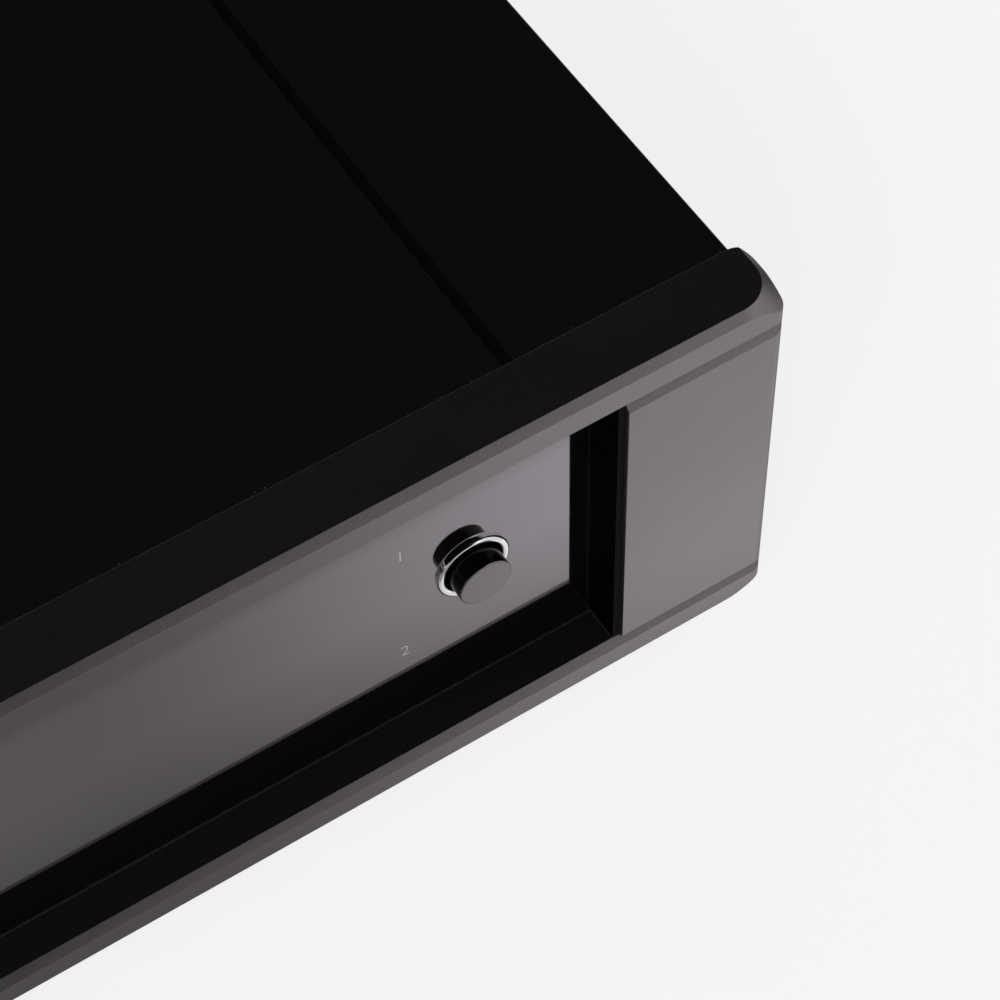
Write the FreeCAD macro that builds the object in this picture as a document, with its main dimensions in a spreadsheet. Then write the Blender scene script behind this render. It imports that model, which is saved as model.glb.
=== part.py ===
import FreeCAD, Part
import math
import os
import re
import Sketcher

# Half-width phono preamp: machined front bezel with a recessed glossy panel, two push buttons,
# grooved top cover, base tray, rear panel with its jacks, and the boards and transformer inside.
# Frame: +X to the right seen from the front, the front faces -Y, +Z up, origin under the middle.

doc = FreeCAD.newDocument("PhonoPreamp")
sheet = doc.addObject("Spreadsheet::Sheet", "Sizes")
SIZES = (
    ("bezel_width", 216, "width of the front bezel"),
    ("bezel_height", 75.6, "height of the front bezel"),
    ("bezel_depth", 11.6, "front lips to the seam with the cover"),
    ("edge_chamfer", 1.3, "45 degree edge round the front"),
    ("face_corner_radius", 5.8, "corner of the top and bottom faces, seen from above"),
    ("bezel_front_radius", 2.2, "vertical front edges of the bezel"),
    ("bezel_rear_radius", 3, "vertical rear edges of the bezel"),
    ("lower_lip_height", 4.1, "flat front face of the lower lip"),
    ("upper_lip_height", 4.45, "flat front face of the upper lip"),
    ("groove_depth", 1.3, "V grooves between the lips and the end blocks"),
    ("cheek_width", 27.4, "flat front face of each end block"),
    ("cheek_ledge", 1, "ledge beside each end block, level with the bottoms of the grooves"),
    ("panel_recess", 7.5, "lips to the face of the glossy panel"),
    ("panel_thickness", 3, "glossy panel"),
    ("panel_margin", 3, "panel hidden behind each edge of the window"),
    ("panel_clearance", 0.2, "panel to the rebate that holds it"),
    ("panel_corner_radius", 1.5, "corners of the panel and its rebate"),
    ("gasket_band", 6, "width of the gasket's frame"),
    ("button_inset", 21.5, "button centre to the window's side wall"),
    ("ring_radius", 6.3, "chrome ring"),
    ("ring_bore", 5.05, "hole in the chrome ring"),
    ("ring_proud", 0.8, "ring in front of the panel"),
    ("ring_rounding", 0.35, "front edges of the ring"),
    ("sleeve_wall", 0.75, "ring's sleeve through the panel"),
    ("cap_radius", 4.5, "push button"),
    ("cap_proud", 4, "button's face in front of the panel"),
    ("cap_rounding", 0.3, "rim of the button"),
    ("cap_flange_radius", 5.6, "flange that keeps the button in"),
    ("cap_flange_thickness", 0.9, "flange of the button"),
    ("cap_flange_gap", 0.3, "flange to the back of the sleeve at rest"),
    ("cap_stem_radius", 2.4, "stem behind the flange"),
    ("cap_stem_length", 1.2, "stem behind the flange"),
    ("button_travel", 1.2, "press of each button"),
    ("plunger_radius", 1.75, "switch plunger"),
    ("plunger_length", 3, "switch plunger"),
    ("plunger_clearance", 0.1, "plunger in its switch"),
    ("switch_side", 12, "square body of each push switch"),
    ("switch_depth", 4.4, "body of each push switch"),
    ("front_board_margin", 4, "front board past its outer studs"),
    ("front_board_height", 26, "board behind the buttons"),
    ("board_thickness", 1.6, "circuit boards"),
    ("front_stud_reach", 9.9, "studs of the front board outside the buttons"),
    ("front_stud_z", 8, "studs of the front board from the button's height"),
    ("stud_radius", 2.5, "pressed studs"),
    ("screw_radius", 1.45, "M3 screws"),
    ("screw_clearance", 0.15, "M3 screws in plain holes"),
    ("screw_head_radius", 2.75, "M3 heads"),
    ("screw_head_height", 1.8, "M3 heads"),
    ("screw_socket_radius", 1.2, "drive recess in M3 heads"),
    ("screw_socket_depth", 0.9, "drive recess in M3 heads"),
    ("bezel_screw_radius", 1.95, "M4 screws into the bezel"),
    ("bezel_screw_head_radius", 3.5, "M4 heads"),
    ("bezel_screw_head_height", 2.4, "M4 heads"),
    ("bezel_screw_reach", 6.4, "M4 screws inside the bezel"),
    ("bezel_screw_inset", 14, "M4 screws from the bezel's side"),
    ("bezel_screw_margin", 18, "M4 screws from the bezel's top and underside"),
    ("case_depth", 230, "front lips to the rear panel's outer face"),
    ("cover_inset", 2.45, "cover's side inside the bezel's side"),
    ("cover_thickness", 2.5, "folded top cover"),
    ("cover_rounding", 1, "long top edges of the cover"),
    ("cover_groove_inset", 39.25, "groove in the cover from the bezel's side"),
    ("cover_groove_width", 1.9, "groove in the cover"),
    ("cover_groove_depth", 1.2, "groove in the cover"),
    ("cover_screw_front", 50, "front cover screws behind the lips"),
    ("cover_screw_setback", 34, "rear cover screws inside the rear panel's outer face"),
    ("cover_screw_rise", 8, "cover screws above the underside"),
    ("underside_step", 0.8, "base above the bezel's underside"),
    ("sheet_thickness", 1.5, "base tray"),
    ("tray_gap", 0.1, "tray to the cover round it"),
    ("flange_height", 14, "bent-up sides and back of the tray"),
    ("ear_width", 13, "tall rear corners of the tray"),
    ("rear_thickness", 2, "rear panel"),
    ("rear_screw_inset", 9, "rear screws from the panel's side"),
    ("rear_screw_low", 8, "lower rear screws above the underside"),
    ("rear_screw_drop", 11.6, "upper rear screws below the panel's top"),
    ("foot_height", 6.4, "feet under the bezel's underside"),
    ("foot_radius", 11, "feet"),
    ("foot_rounding", 1, "lower rim of the feet"),
    ("foot_recess_radius", 4, "recess for the foot's screw"),
    ("foot_recess_depth", 4, "recess for the foot's screw"),
    ("foot_inset", 26, "feet from the bezel's side"),
    ("foot_front", 32, "front feet behind the lips"),
    ("foot_setback", 26, "rear feet inside the rear panel's outer face"),
    ("foot_screw_tip", 3, "foot screws above the tray's floor"),
    ("main_board_gap", 12, "main board to the transformer"),
    ("main_board_side_gap", 3.45, "main board to the tray's side"),
    ("main_board_front", 62, "front edge of the main board behind the lips"),
    ("main_board_setback", 8, "main board inside the rear panel's outer face"),
    ("standoff_height", 6, "standoffs under the main board"),
    ("standoff_radius", 3, "standoffs"),
    ("standoff_inset", 6, "standoffs from the board's edges"),
    ("transformer_side_gap", 5.45, "winding to the tray's side"),
    ("transformer_y", 88, "centre of the transformer behind the lips"),
    ("transformer_radius", 36, "winding"),
    ("transformer_hole", 12, "hole in the winding"),
    ("transformer_height", 30, "winding"),
    ("transformer_rounding", 7, "rim of the winding"),
    ("pad_thickness", 2, "pads under and over the winding"),
    ("pad_radius", 34, "pads"),
    ("plate_radius", 30, "clamping plate"),
    ("plate_thickness", 2, "clamping plate"),
    ("plate_dish", 3, "dished middle of the clamping plate"),
    ("bolt_radius", 2.95, "transformer bolt"),
    ("bolt_clearance", 0.2, "bolt in its holes"),
    ("bolt_head_radius", 5.6, "transformer bolt's head across corners"),
    ("bolt_head_height", 4, "transformer bolt's head"),
    ("jack_side_inset", 23.55, "outermost jacks from the cover's side"),
    ("jack_pitch", 24, "one pair of jacks to the next"),
    ("jack_low", 26, "lower jacks above the underside"),
    ("jack_rise", 20, "lower jacks to upper jacks"),
    ("jack_flange_radius", 5.6, "flange of each jack"),
    ("jack_flange_thickness", 1.2, "flange of each jack"),
    ("jack_barrel_radius", 4.15, "barrel that takes the plug"),
    ("jack_barrel_length", 9, "barrel in front of its flange"),
    ("jack_tail_radius", 3.95, "threaded tail"),
    ("jack_tail_length", 9, "threaded tail inside the rear panel's outer face"),
    ("jack_bore", 3.3, "bore of the barrel"),
    ("jack_hole_clearance", 0.15, "tail in the rear panel"),
    ("jack_nut_radius", 6, "nuts inside, across corners"),
    ("jack_nut_height", 2.4, "nuts inside"),
    ("insert_setback", 0.7, "insulator behind the barrel's mouth"),
    ("insert_lip", 2.2, "insulator in front of the contact"),
    ("contact_bore", 1.65, "hole for the plug's pin"),
    ("contact_radius", 2.2, "contact tube"),
    ("contact_length", 14, "contact tube"),
    ("contact_tail_radius", 0.7, "solder tail"),
    ("jack_board_setback", 12.4, "jack board's rear face inside the rear panel's outer face"),
    ("jack_board_margin", 6, "jack board past the outer jacks"),
    ("jack_board_height", 48, "jack board"),
    ("post_drop", 14.6, "earth terminal below the rear panel's top"),
    ("post_radius", 1.95, "threaded post"),
    ("post_reach", 16, "post behind the rear panel"),
    ("post_tail", 9, "post inside the rear panel's outer face"),
    ("post_flange_radius", 5, "post's flange"),
    ("post_flange_thickness", 1.5, "post's flange"),
    ("thread_clearance", 0.05, "nut and washer on the post"),
    ("washer_radius", 5.4, "earth washer"),
    ("washer_thickness", 0.8, "earth washer"),
    ("knurl_radius", 6, "knurled nut"),
    ("knurl_length", 6.5, "knurled nut"),
    ("knurl_depth", 0.4, "flutes of the knurled nut"),
    ("knurl_count", 20, "flutes of the knurled nut"),
    ("knurl_rounding", 0.5, "outer rim of the knurled nut"),
    ("inlet_side_inset", 33.55, "mains inlet from the cover's side"),
    ("inlet_lift", 2.2, "middle of the mains inlet above the middle of the front"),
    ("inlet_flange_width", 50, "flange of the mains inlet"),
    ("inlet_flange_height", 34, "flange of the mains inlet"),
    ("inlet_flange_thickness", 3, "flange of the mains inlet"),
    ("inlet_flange_rounding", 3, "corners of the flange"),
    ("inlet_body_width", 28, "inlet body inside the case"),
    ("inlet_body_height", 31, "inlet body inside the case"),
    ("inlet_body_depth", 24, "inlet body inside the rear panel's outer face"),
    ("inlet_hole_gap", 0.3, "body in the rear panel"),
    ("inlet_screw_pitch", 40, "screws of the inlet"),
    ("socket_width", 24, "mouth of the mains socket"),
    ("socket_height", 16.5, "mouth of the mains socket"),
    ("socket_depth", 17, "mouth of the mains socket"),
    ("socket_corner", 5, "cut corners of the mains socket"),
    ("socket_rise", 4.6, "middle of the socket above the flange's middle"),
    ("inlet_pin_width", 2, "blades of the mains inlet"),
    ("inlet_pin_height", 4, "blades of the mains inlet"),
    ("inlet_pin_length", 12, "blades inside the socket"),
    ("inlet_pin_root", 11, "blades behind the socket"),
    ("inlet_pin_pitch", 7, "outer blades from the middle one"),
    ("inlet_pin_offset", 2, "blades above and below the socket's middle"),
    ("drawer_width", 24, "fuse drawer"),
    ("drawer_height", 6.4, "fuse drawer"),
    ("drawer_depth", 20, "fuse drawer behind its front"),
    ("drawer_drop", 9.4, "middle of the drawer below the flange's middle"),
    ("drawer_clearance", 0.25, "drawer in its slot"),
    ("drawer_front_thickness", 1.4, "front of the drawer"),
    ("drawer_front_margin", 0.9, "front of the drawer past its slot"),
    ("drawer_notch", 4, "finger notch in the drawer's front"),
    ("drawer_wall", 1, "walls of the drawer"),
    ("fuse_radius", 2.5, "fuse caps"),
    ("fuse_length", 20, "fuse"),
    ("fuse_cap_length", 5, "fuse caps"),
    ("fuse_glass_radius", 2.2, "glass of the fuse"),
    ("fuse_setback", 13, "fuse behind the drawer's front"),
    ("slider_jack_gap", 28, "slide switches to the output jacks"),
    ("slider_slot_width", 9.4, "slot in the rear panel"),
    ("slider_slot_height", 4.4, "slot in the rear panel"),
    ("slider_body_width", 15, "slide switch"),
    ("slider_body_height", 8, "slide switch"),
    ("slider_body_depth", 7, "slide switch"),
    ("slider_well_depth", 5, "well of the slide switch"),
    ("slider_width", 4.6, "lever of the slide switch"),
    ("slider_height", 3.8, "lever of the slide switch"),
    ("slider_proud", 2.5, "lever behind the rear panel"),
    ("slider_travel", 4, "throw of the slide switch"),
    ("slider_floor_gap", 0.3, "lever to the floor of its well"),
    ("filter_radius", 9, "filter capacitors"),
    ("filter_height", 32, "filter capacitors"),
    ("filter_rounding", 1.2, "rim of the filter capacitors"),
    ("filter_pitch", 21, "one filter capacitor to the next"),
    ("filter_inset", 5, "filter capacitors to the board's left edge"),
    ("filter_setback", 7, "filter capacitors to the board's front edge"),
    ("film_width", 13, "signal capacitors"),
    ("film_thickness", 6, "signal capacitors"),
    ("film_height", 11, "signal capacitors"),
    ("film_pitch", 22, "one signal capacitor to the next"),
    ("film_row", 16, "one row of signal capacitors to the next"),
    ("film_inset", 6, "signal capacitors to the board's right edge"),
    ("film_gap", 10, "signal capacitors to the amplifier chips"),
    ("chip_length", 9.5, "amplifier chips"),
    ("chip_width", 6.4, "amplifier chips"),
    ("chip_height", 3.4, "amplifier chips"),
    ("chip_gap", 8, "amplifier chips to the relays"),
    ("relay_width", 10, "relays"),
    ("relay_length", 20, "relays"),
    ("relay_height", 10, "relays"),
    ("relay_gap", 8, "relays to the jack board"),
    ("sink_inset", 3, "heat sink to the board's right edge"),
    ("sink_setback", 22, "heat sink to the board's front edge"),
    ("sink_width", 38, "heat sink"),
    ("sink_height", 30, "heat sink"),
    ("sink_base", 3, "back of the heat sink"),
    ("fin_depth", 13, "fins"),
    ("fin_thickness", 1.2, "fins"),
    ("fin_count", 8, "fins"),
    ("regulator_width", 10, "voltage regulators"),
    ("regulator_depth", 4.5, "voltage regulators"),
    ("regulator_height", 15, "voltage regulators"),
    ("regulator_rise", 6, "voltage regulators above the board"),
    ("regulator_pitch", 18, "one voltage regulator to the next"),
)
for row, (alias, number, meaning) in enumerate(SIZES, 1):
    sheet.set(f"A{row}", str(number))
    sheet.setAlias(f"A{row}", alias)
    sheet.set(f"B{row}", meaning)
doc.recompute()
ALIASES = {alias for alias, number, meaning in SIZES}
NODES = []

# Places worked out from the sizes. Y counts from the front lips and Z from the bezel's underside.
WINDOW_HALF = "(bezel_width / 2 - cheek_width - cheek_ledge)"
GROOVE_LOW = "(edge_chamfer + lower_lip_height)"
WINDOW_LOW = f"({GROOVE_LOW} + groove_depth)"
BLOCK_LOW = f"({WINDOW_LOW} + groove_depth)"
GROOVE_HIGH = "(bezel_height - edge_chamfer - upper_lip_height)"
WINDOW_HIGH = f"({GROOVE_HIGH} - groove_depth)"
BLOCK_HIGH = f"({WINDOW_HIGH} - groove_depth)"
PANEL_BACK = "(panel_recess + panel_thickness)"
BUTTON_X = f"({WINDOW_HALF} - button_inset)"
BUTTON_Z = "(bezel_height / 2)"
SLEEVE_RADIUS = "(ring_bore + sleeve_wall)"
FLANGE_FRONT = f"({PANEL_BACK} + cap_flange_gap)"
FLANGE_BACK = f"({FLANGE_FRONT} + cap_flange_thickness)"
STEM_BACK = f"({FLANGE_BACK} + cap_stem_length)"
WALL_BACK = "(bezel_depth + sheet_thickness)"
SWITCH_FRONT = f"({STEM_BACK} + button_travel + plunger_clearance * 3)"
FRONT_BOARD = f"({SWITCH_FRONT} + switch_depth)"
FLOOR = "(underside_step + sheet_thickness)"
CASE_HALF = "(bezel_width / 2 - cover_inset)"
TRAY_HALF = f"({CASE_HALF} - cover_thickness - tray_gap)"
TRAY_INNER = f"({TRAY_HALF} - sheet_thickness)"
REAR_FACE = "(case_depth - rear_thickness)"
BOARD_LOW = f"({FLOOR} + standoff_height)"
BOARD_TOP = f"({BOARD_LOW} + board_thickness)"
TRANSFORMER_X = f"(transformer_radius + transformer_side_gap - {TRAY_INNER})"
BOARD_LEFT = f"({TRANSFORMER_X} + transformer_radius + main_board_gap)"
BOARD_RIGHT = f"({TRAY_INNER} - main_board_side_gap)"
BOARD_REAR = "(case_depth - main_board_setback)"
WINDING_LOW = f"({FLOOR} + pad_thickness)"
WINDING_TOP = f"({WINDING_LOW} + transformer_height)"
PLATE_LOW = f"({WINDING_TOP} + pad_thickness)"
JACK_PAIRS = ("output", "coil", "magnet")
JACK_LAST = f"({CASE_HALF} - jack_side_inset)"
JACK_FIRST = f"({JACK_LAST} - jack_pitch * {len(JACK_PAIRS) - 1})"
JACK_HIGH = "(jack_low + jack_rise)"
JACK_BOARD = "(case_depth - jack_board_setback)"
JACK_BOARD_FRONT = f"({JACK_BOARD} - board_thickness)"
POST_X = f"({JACK_LAST} - jack_pitch / 2)"
POST_Z = "(bezel_height - post_drop)"
SLIDER_X = f"({JACK_FIRST} - slider_jack_gap)"
INLET_X = f"(inlet_side_inset - {CASE_HALF})"
INLET_Z = "(bezel_height / 2 + inlet_lift)"
INLET_FACE = "(case_depth + inlet_flange_thickness)"
SOCKET_Z = f"({INLET_Z} + socket_rise)"
DRAWER_Z = f"({INLET_Z} - drawer_drop)"
COLLAR_FACE = "(case_depth + post_flange_thickness)"
NUT_FACE = f"({COLLAR_FACE} + washer_thickness)"
RELAY_Y = f"({JACK_BOARD_FRONT} - relay_gap - relay_length)"
CHIP_Y = f"({RELAY_Y} - chip_gap - chip_width)"
FILM_Y = f"({CHIP_Y} - film_gap - film_thickness - film_row)"
FILM_COLUMNS = 4
FILM_X = f"({BOARD_RIGHT} - film_inset - film_width - film_pitch * {FILM_COLUMNS - 1})"
FILTER_X = f"({BOARD_LEFT} + filter_inset + filter_radius)"
FILTER_Y = "(main_board_front + filter_setback + filter_radius)"
SINK_X = f"({BOARD_RIGHT} - sink_inset - sink_width / 2)"
SINK_Y = "(main_board_front + sink_setback)"
SIDES = (-1, 1)


def bound(text):
    """Expression text in which every size points at its cell."""
    return re.sub(r"[a-z]\w*", lambda word: f"Sizes.{word[0]}" if word[0] in ALIASES else word[0], text)


def value(text):
    """Number that an expression stands for."""
    return float(sheet.evalExpression(bound(text)))


def place(thing, x="0", y="0", z="0", turn=None):
    """Puts a piece at a place counted from the front lips and the bezel's underside."""
    if turn:
        thing.Placement = FreeCAD.Placement(FreeCAD.Vector(), turn)
    thing.setExpression("Placement.Base.x", bound(x))
    thing.setExpression("Placement.Base.y", bound(f"{y} - (case_depth + post_reach) / 2"))
    thing.setExpression("Placement.Base.z", bound(f"{z} + foot_height"))
    return thing


def node(thing, label):
    """Names a finished sub-part."""
    thing.Label = label
    NODES.append(thing)
    return thing


def body(name):
    """Empty body in the case's frame."""
    return place(doc.addObject("PartDesign::Body", name))


def sketch(owner, role, offset="0"):
    """Sketch on one of the body's own planes, moved along that plane's normal."""
    plane = next(feature for feature in owner.Origin.OriginFeatures if feature.Role == role)
    drawing = owner.newObject("Sketcher::SketchObject", f"{owner.Name}Sketch")
    drawing.AttachmentSupport = (plane, [""])
    drawing.MapMode = "FlatFace"
    drawing.setExpression("AttachmentOffset.Base.z", bound(offset))
    return drawing


def front_view(owner, y="0"):
    """Sketch seen from the front, X across and Z up, at a depth behind the lips."""
    return sketch(owner, "XZ_Plane", f"-({y})")


def plan_view(owner, z="0"):
    """Sketch seen from above, X across and Y to the rear, at a height."""
    return sketch(owner, "XY_Plane", z)


def side_view(owner, x="0"):
    """Sketch seen from the right, Y across and Z up, at a distance from the middle."""
    return sketch(owner, "YZ_Plane", x)


def pin(drawing, geometry, corner, x, y):
    """Fixes a point of a sketch at two bound distances from the sketch's origin."""
    for kind, axis, text in (("DistanceX", -2, x), ("DistanceY", -1, y)):
        if text == "0":
            drawing.addConstraint(Sketcher.Constraint("PointOnObject", geometry, corner, axis))
            continue
        index = drawing.addConstraint(Sketcher.Constraint(kind, geometry, corner, value(text)))
        drawing.setExpression(f"Constraints[{index}]", bound(text))


def polygon(drawing, points):
    """Closed outline through corners that are each fixed by their own expressions."""
    first = drawing.GeometryCount
    corners = [FreeCAD.Vector(value(x), value(y), 0) for x, y in points]
    count = len(corners)
    for index in range(count):
        drawing.addGeometry(Part.LineSegment(corners[index], corners[(index + 1) % count]), False)
    for index in range(count):
        following = first + (index + 1) % count
        drawing.addConstraint(Sketcher.Constraint("Coincident", first + index, 2, following, 1))
    for index, (x, y) in enumerate(points):
        pin(drawing, first + index, 1, x, y)
    return drawing


def rectangle(drawing, left, right, low, high):
    """Closed rectangle between two distances across and two up."""
    return polygon(drawing, ((left, low), (right, low), (right, high), (left, high)))


def centred(drawing, x, y, half_width, half_height):
    """Closed rectangle about a point, from half its width and half its height."""
    low = f"{y} - {half_height}"
    high = f"{y} + {half_height}"
    return rectangle(drawing, f"{x} - {half_width}", f"{x} + {half_width}", low, high)


def circle(drawing, x, y, radius):
    """Circle whose centre and radius are bound."""
    centre = FreeCAD.Vector(value(x), value(y), 0)
    index = drawing.addGeometry(Part.Circle(centre, FreeCAD.Vector(0, 0, 1), value(radius)), False)
    pin(drawing, index, 3, x, y)
    size = drawing.addConstraint(Sketcher.Constraint("Radius", index, value(radius)))
    drawing.setExpression(f"Constraints[{size}]", bound(radius))
    return drawing


def pad(owner, drawing, length, backwards=False):
    """Adds a straight extrusion of a sketch."""
    feature = owner.newObject("PartDesign::Pad", f"{owner.Name}Pad")
    feature.Profile = drawing
    feature.Reversed = backwards
    feature.setExpression("Length", bound(length))
    owner.Tip = feature
    return feature


def pocket(owner, drawing, length=None, backwards=False):
    """Cuts a sketch away, through everything when no length is given, and checks that it cuts."""
    doc.recompute()
    before = owner.Shape.Volume
    feature = owner.newObject("PartDesign::Pocket", f"{owner.Name}Pocket")
    feature.Profile = drawing
    feature.Reversed = backwards
    if length is None:
        feature.Type = "ThroughAll"
    else:
        feature.setExpression("Length", bound(length))
    owner.Tip = feature
    doc.recompute()
    if not owner.Shape.Volume < before:
        raise RuntimeError(f"{owner.Name}: a pocket cuts nothing")
    return feature


def fillet(owner, radius, wanted):
    """Rounds the edges that a test picks, each by its bounding box."""
    doc.recompute()
    base = owner.Tip
    names = [f"Edge{index}" for index, edge in enumerate(base.Shape.Edges, 1) if wanted(edge)]
    if not names:
        raise RuntimeError(f"{owner.Name}: no edge to round")
    feature = owner.newObject("PartDesign::Fillet", f"{owner.Name}Fillet")
    feature.Base = (base, names)
    feature.setExpression("Radius", bound(radius))
    owner.Tip = feature
    return feature


def along(edge, axis):
    """True for a straight edge that runs along one axis."""
    if not isinstance(edge.Curve, Part.Line):
        return False
    return abs(abs(edge.Curve.Direction.dot(axis)) - 1) < 1e-6


def rim(y, radius):
    """Test for a round edge at a depth, for turned pieces along Y."""
    def wanted(edge):
        if not isinstance(edge.Curve, Part.Circle):
            return False
        return abs(edge.Curve.Center.y - value(y)) < 1e-4 and abs(edge.Curve.Radius - value(radius)) < 1e-4
    return wanted


def level_rim(z, radius):
    """Test for a round edge at a height, for turned pieces along Z."""
    def wanted(edge):
        if not isinstance(edge.Curve, Part.Circle):
            return False
        return abs(edge.Curve.Center.z - value(z)) < 1e-4 and abs(edge.Curve.Radius - value(radius)) < 1e-4
    return wanted


def turned(name, outline, x="0", y="0", z="0", upright=False):
    """Body turned about Y, or about Z when upright, from radius and station pairs."""
    owner = place(doc.addObject("PartDesign::Body", name), x, y, z)
    drawing = sketch(owner, "XZ_Plane" if upright else "XY_Plane")
    polygon(drawing, outline)
    feature = owner.newObject("PartDesign::Revolution", f"{name}Turn")
    feature.Profile = drawing
    feature.ReferenceAxis = (drawing, ["V_Axis"])
    feature.Angle = 360
    owner.Tip = feature
    return owner


def box(name, x, y, z, width, depth, height):
    """Block from its lowest corner."""
    block = place(doc.addObject("Part::Box", name), x, y, z)
    for side, text in (("Length", width), ("Width", depth), ("Height", height)):
        block.setExpression(side, bound(text))
    return block


def rod(name, x, y, z, radius, length, upright=False):
    """Round bar that runs to the rear, or up."""
    turn = None if upright else FreeCAD.Rotation(FreeCAD.Vector(1, 0, 0), -90)
    bar = place(doc.addObject("Part::Cylinder", name), x, y, z, turn)
    bar.setExpression("Radius", bound(radius))
    bar.setExpression("Height", bound(length))
    return bar


def join(kind, name, shapes):
    """Boolean of several shapes: a fuse of touching ones or a group of separate ones."""
    result = doc.addObject(kind, name)
    if kind == "Part::Compound":
        result.Links = shapes
    else:
        result.Shapes = shapes
    return result


def cut(name, base, tool):
    """One shape less another."""
    result = doc.addObject("Part::Cut", name)
    result.Base = base
    result.Tool = tool
    return result


def signed(side, text):
    """Expression for a distance to the left or to the right of the middle."""
    return f"({side} * ({text}))"


# Front


def envelope_outline(drawing, spread, corner):
    """Plan of the bezel, its front corners rounded and its back left square behind the seam."""
    side = value(f"bezel_width / 2 - edge_chamfer + {spread}")
    front = value(f"edge_chamfer - ({spread})")
    back = value("bezel_depth * 2")
    radius = value(corner)
    vector = FreeCAD.Vector
    lines = (
        (vector(-side, back, 0), vector(-side, front + radius, 0)),
        (vector(-side + radius, front, 0), vector(side - radius, front, 0)),
        (vector(side, front + radius, 0), vector(side, back, 0)),
        (vector(side, back, 0), vector(-side, back, 0)),
    )
    for start, end in lines:
        drawing.addGeometry(Part.LineSegment(start, end), False)
    forward = math.pi * 3 / 2
    for x, start, end in ((-side + radius, math.pi, forward), (side - radius, forward, math.pi * 2)):
        round_part = Part.Circle(vector(x, front + radius, 0), vector(0, 0, 1), radius)
        drawing.addGeometry(Part.ArcOfCircle(round_part, start, end), False)
    for line, line_end, arc, arc_end in ((0, 2, 4, 1), (1, 1, 4, 2), (1, 2, 5, 1), (2, 1, 5, 2)):
        drawing.addConstraint(Sketcher.Constraint("Tangent", line, line_end, arc, arc_end))
    drawing.addConstraint(Sketcher.Constraint("Coincident", 2, 2, 3, 1))
    drawing.addConstraint(Sketcher.Constraint("Coincident", 3, 2, 0, 1))
    drawing.addConstraint(Sketcher.Constraint("Equal", 4, 5))
    drawing.addConstraint(Sketcher.Constraint("Vertical", 0))
    drawing.addConstraint(Sketcher.Constraint("Vertical", 2))
    pin(drawing, 3, 1, f"bezel_width / 2 - edge_chamfer + {spread}", "bezel_depth * 2")
    pin(drawing, 3, 2, f"-(bezel_width / 2 - edge_chamfer + {spread})", "bezel_depth * 2")
    drawing.addConstraint(Sketcher.Constraint("Horizontal", 1))
    level = drawing.addConstraint(Sketcher.Constraint("DistanceY", 1, 1, front))
    drawing.setExpression(f"Constraints[{level}]", bound(f"edge_chamfer - ({spread})"))
    size = drawing.addConstraint(Sketcher.Constraint("Radius", 4, radius))
    drawing.setExpression(f"Constraints[{size}]", bound(corner))


def bezel_envelope():
    """Solid whose top and bottom edges slope at 45 degrees and turn the corners as cones."""
    owner = body("BezelEnvelope")
    slope = "(bezel_height / 4)"
    levels = (
        ("0", "0", "face_corner_radius"),
        (slope, slope, f"face_corner_radius + {slope}"),
        (f"bezel_height - {slope}", slope, f"face_corner_radius + {slope}"),
        ("bezel_height", "0", "face_corner_radius"),
    )
    drawings = []
    for height, spread, corner in levels:
        drawing = plan_view(owner, height)
        envelope_outline(drawing, spread, corner)
        drawings.append(drawing)
    feature = owner.newObject("PartDesign::AdditiveLoft", "BezelEnvelopeLoft")
    feature.Profile = drawings[0]
    feature.Sections = drawings[1:]
    feature.Ruled = True
    owner.Tip = feature
    return owner


def bezel_block():
    """Straight block with the window, the V grooves, the panel's rebate and the screw holes."""
    owner = body("BezelBlock")
    half = "bezel_width / 2"
    outline = rectangle(plan_view(owner), f"-{half}", half, "0", "bezel_depth")
    pad(owner, outline, "bezel_height")
    upright = FreeCAD.Vector(0, 0, 1)
    middle = value("bezel_depth / 2")
    fillet(owner, "bezel_front_radius", lambda edge: along(edge, upright) and edge.BoundBox.YMax < middle)
    fillet(owner, "bezel_rear_radius", lambda edge: along(edge, upright) and edge.BoundBox.YMin > middle)
    window = front_view(owner)
    rectangle(window, f"-{WINDOW_HALF}", WINDOW_HALF, WINDOW_LOW, WINDOW_HIGH)
    pocket(owner, window)
    grooves = side_view(owner, half)
    for low, high in ((GROOVE_LOW, BLOCK_LOW), (BLOCK_HIGH, GROOVE_HIGH)):
        polygon(grooves, (("0", low), ("groove_depth", f"({low} + {high}) / 2"), ("0", high)))
    pocket(owner, grooves)
    cheeks = plan_view(owner, WINDOW_HIGH)
    for side in SIDES:
        wall = signed(side, WINDOW_HALF)
        edge = signed(side, f"{WINDOW_HALF} + cheek_ledge")
        polygon(cheeks, ((wall, "0"), (edge, "0"), (edge, "groove_depth"), (wall, "groove_depth")))
    pocket(owner, cheeks, f"{WINDOW_HIGH} - {WINDOW_LOW}")
    rebate = front_view(owner, "bezel_depth")
    reach = f"({WINDOW_HALF} + panel_margin)"
    rectangle(rebate, f"-{reach}", reach, f"{WINDOW_LOW} - panel_margin", f"{WINDOW_HIGH} + panel_margin")
    pocket(owner, rebate, "bezel_depth - panel_recess", True)
    holes = front_view(owner, "bezel_depth")
    for x, z in bezel_screw_places():
        circle(holes, x, z, "bezel_screw_radius + screw_clearance / 3")
    pocket(owner, holes, "bezel_screw_reach + screw_clearance", True)
    return owner


def front_bezel():
    """Front bezel machined from one block."""
    node(join("Part::MultiCommon", "FrontBezel", [bezel_block(), bezel_envelope()]), "front_bezel")


def bezel_screw_places():
    """Places of the four screws that hold the bezel."""
    x = "bezel_width / 2 - bezel_screw_inset"
    heights = ("bezel_screw_margin", "bezel_height - bezel_screw_margin")
    return [(signed(side, x), z) for side in SIDES for z in heights]


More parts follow.
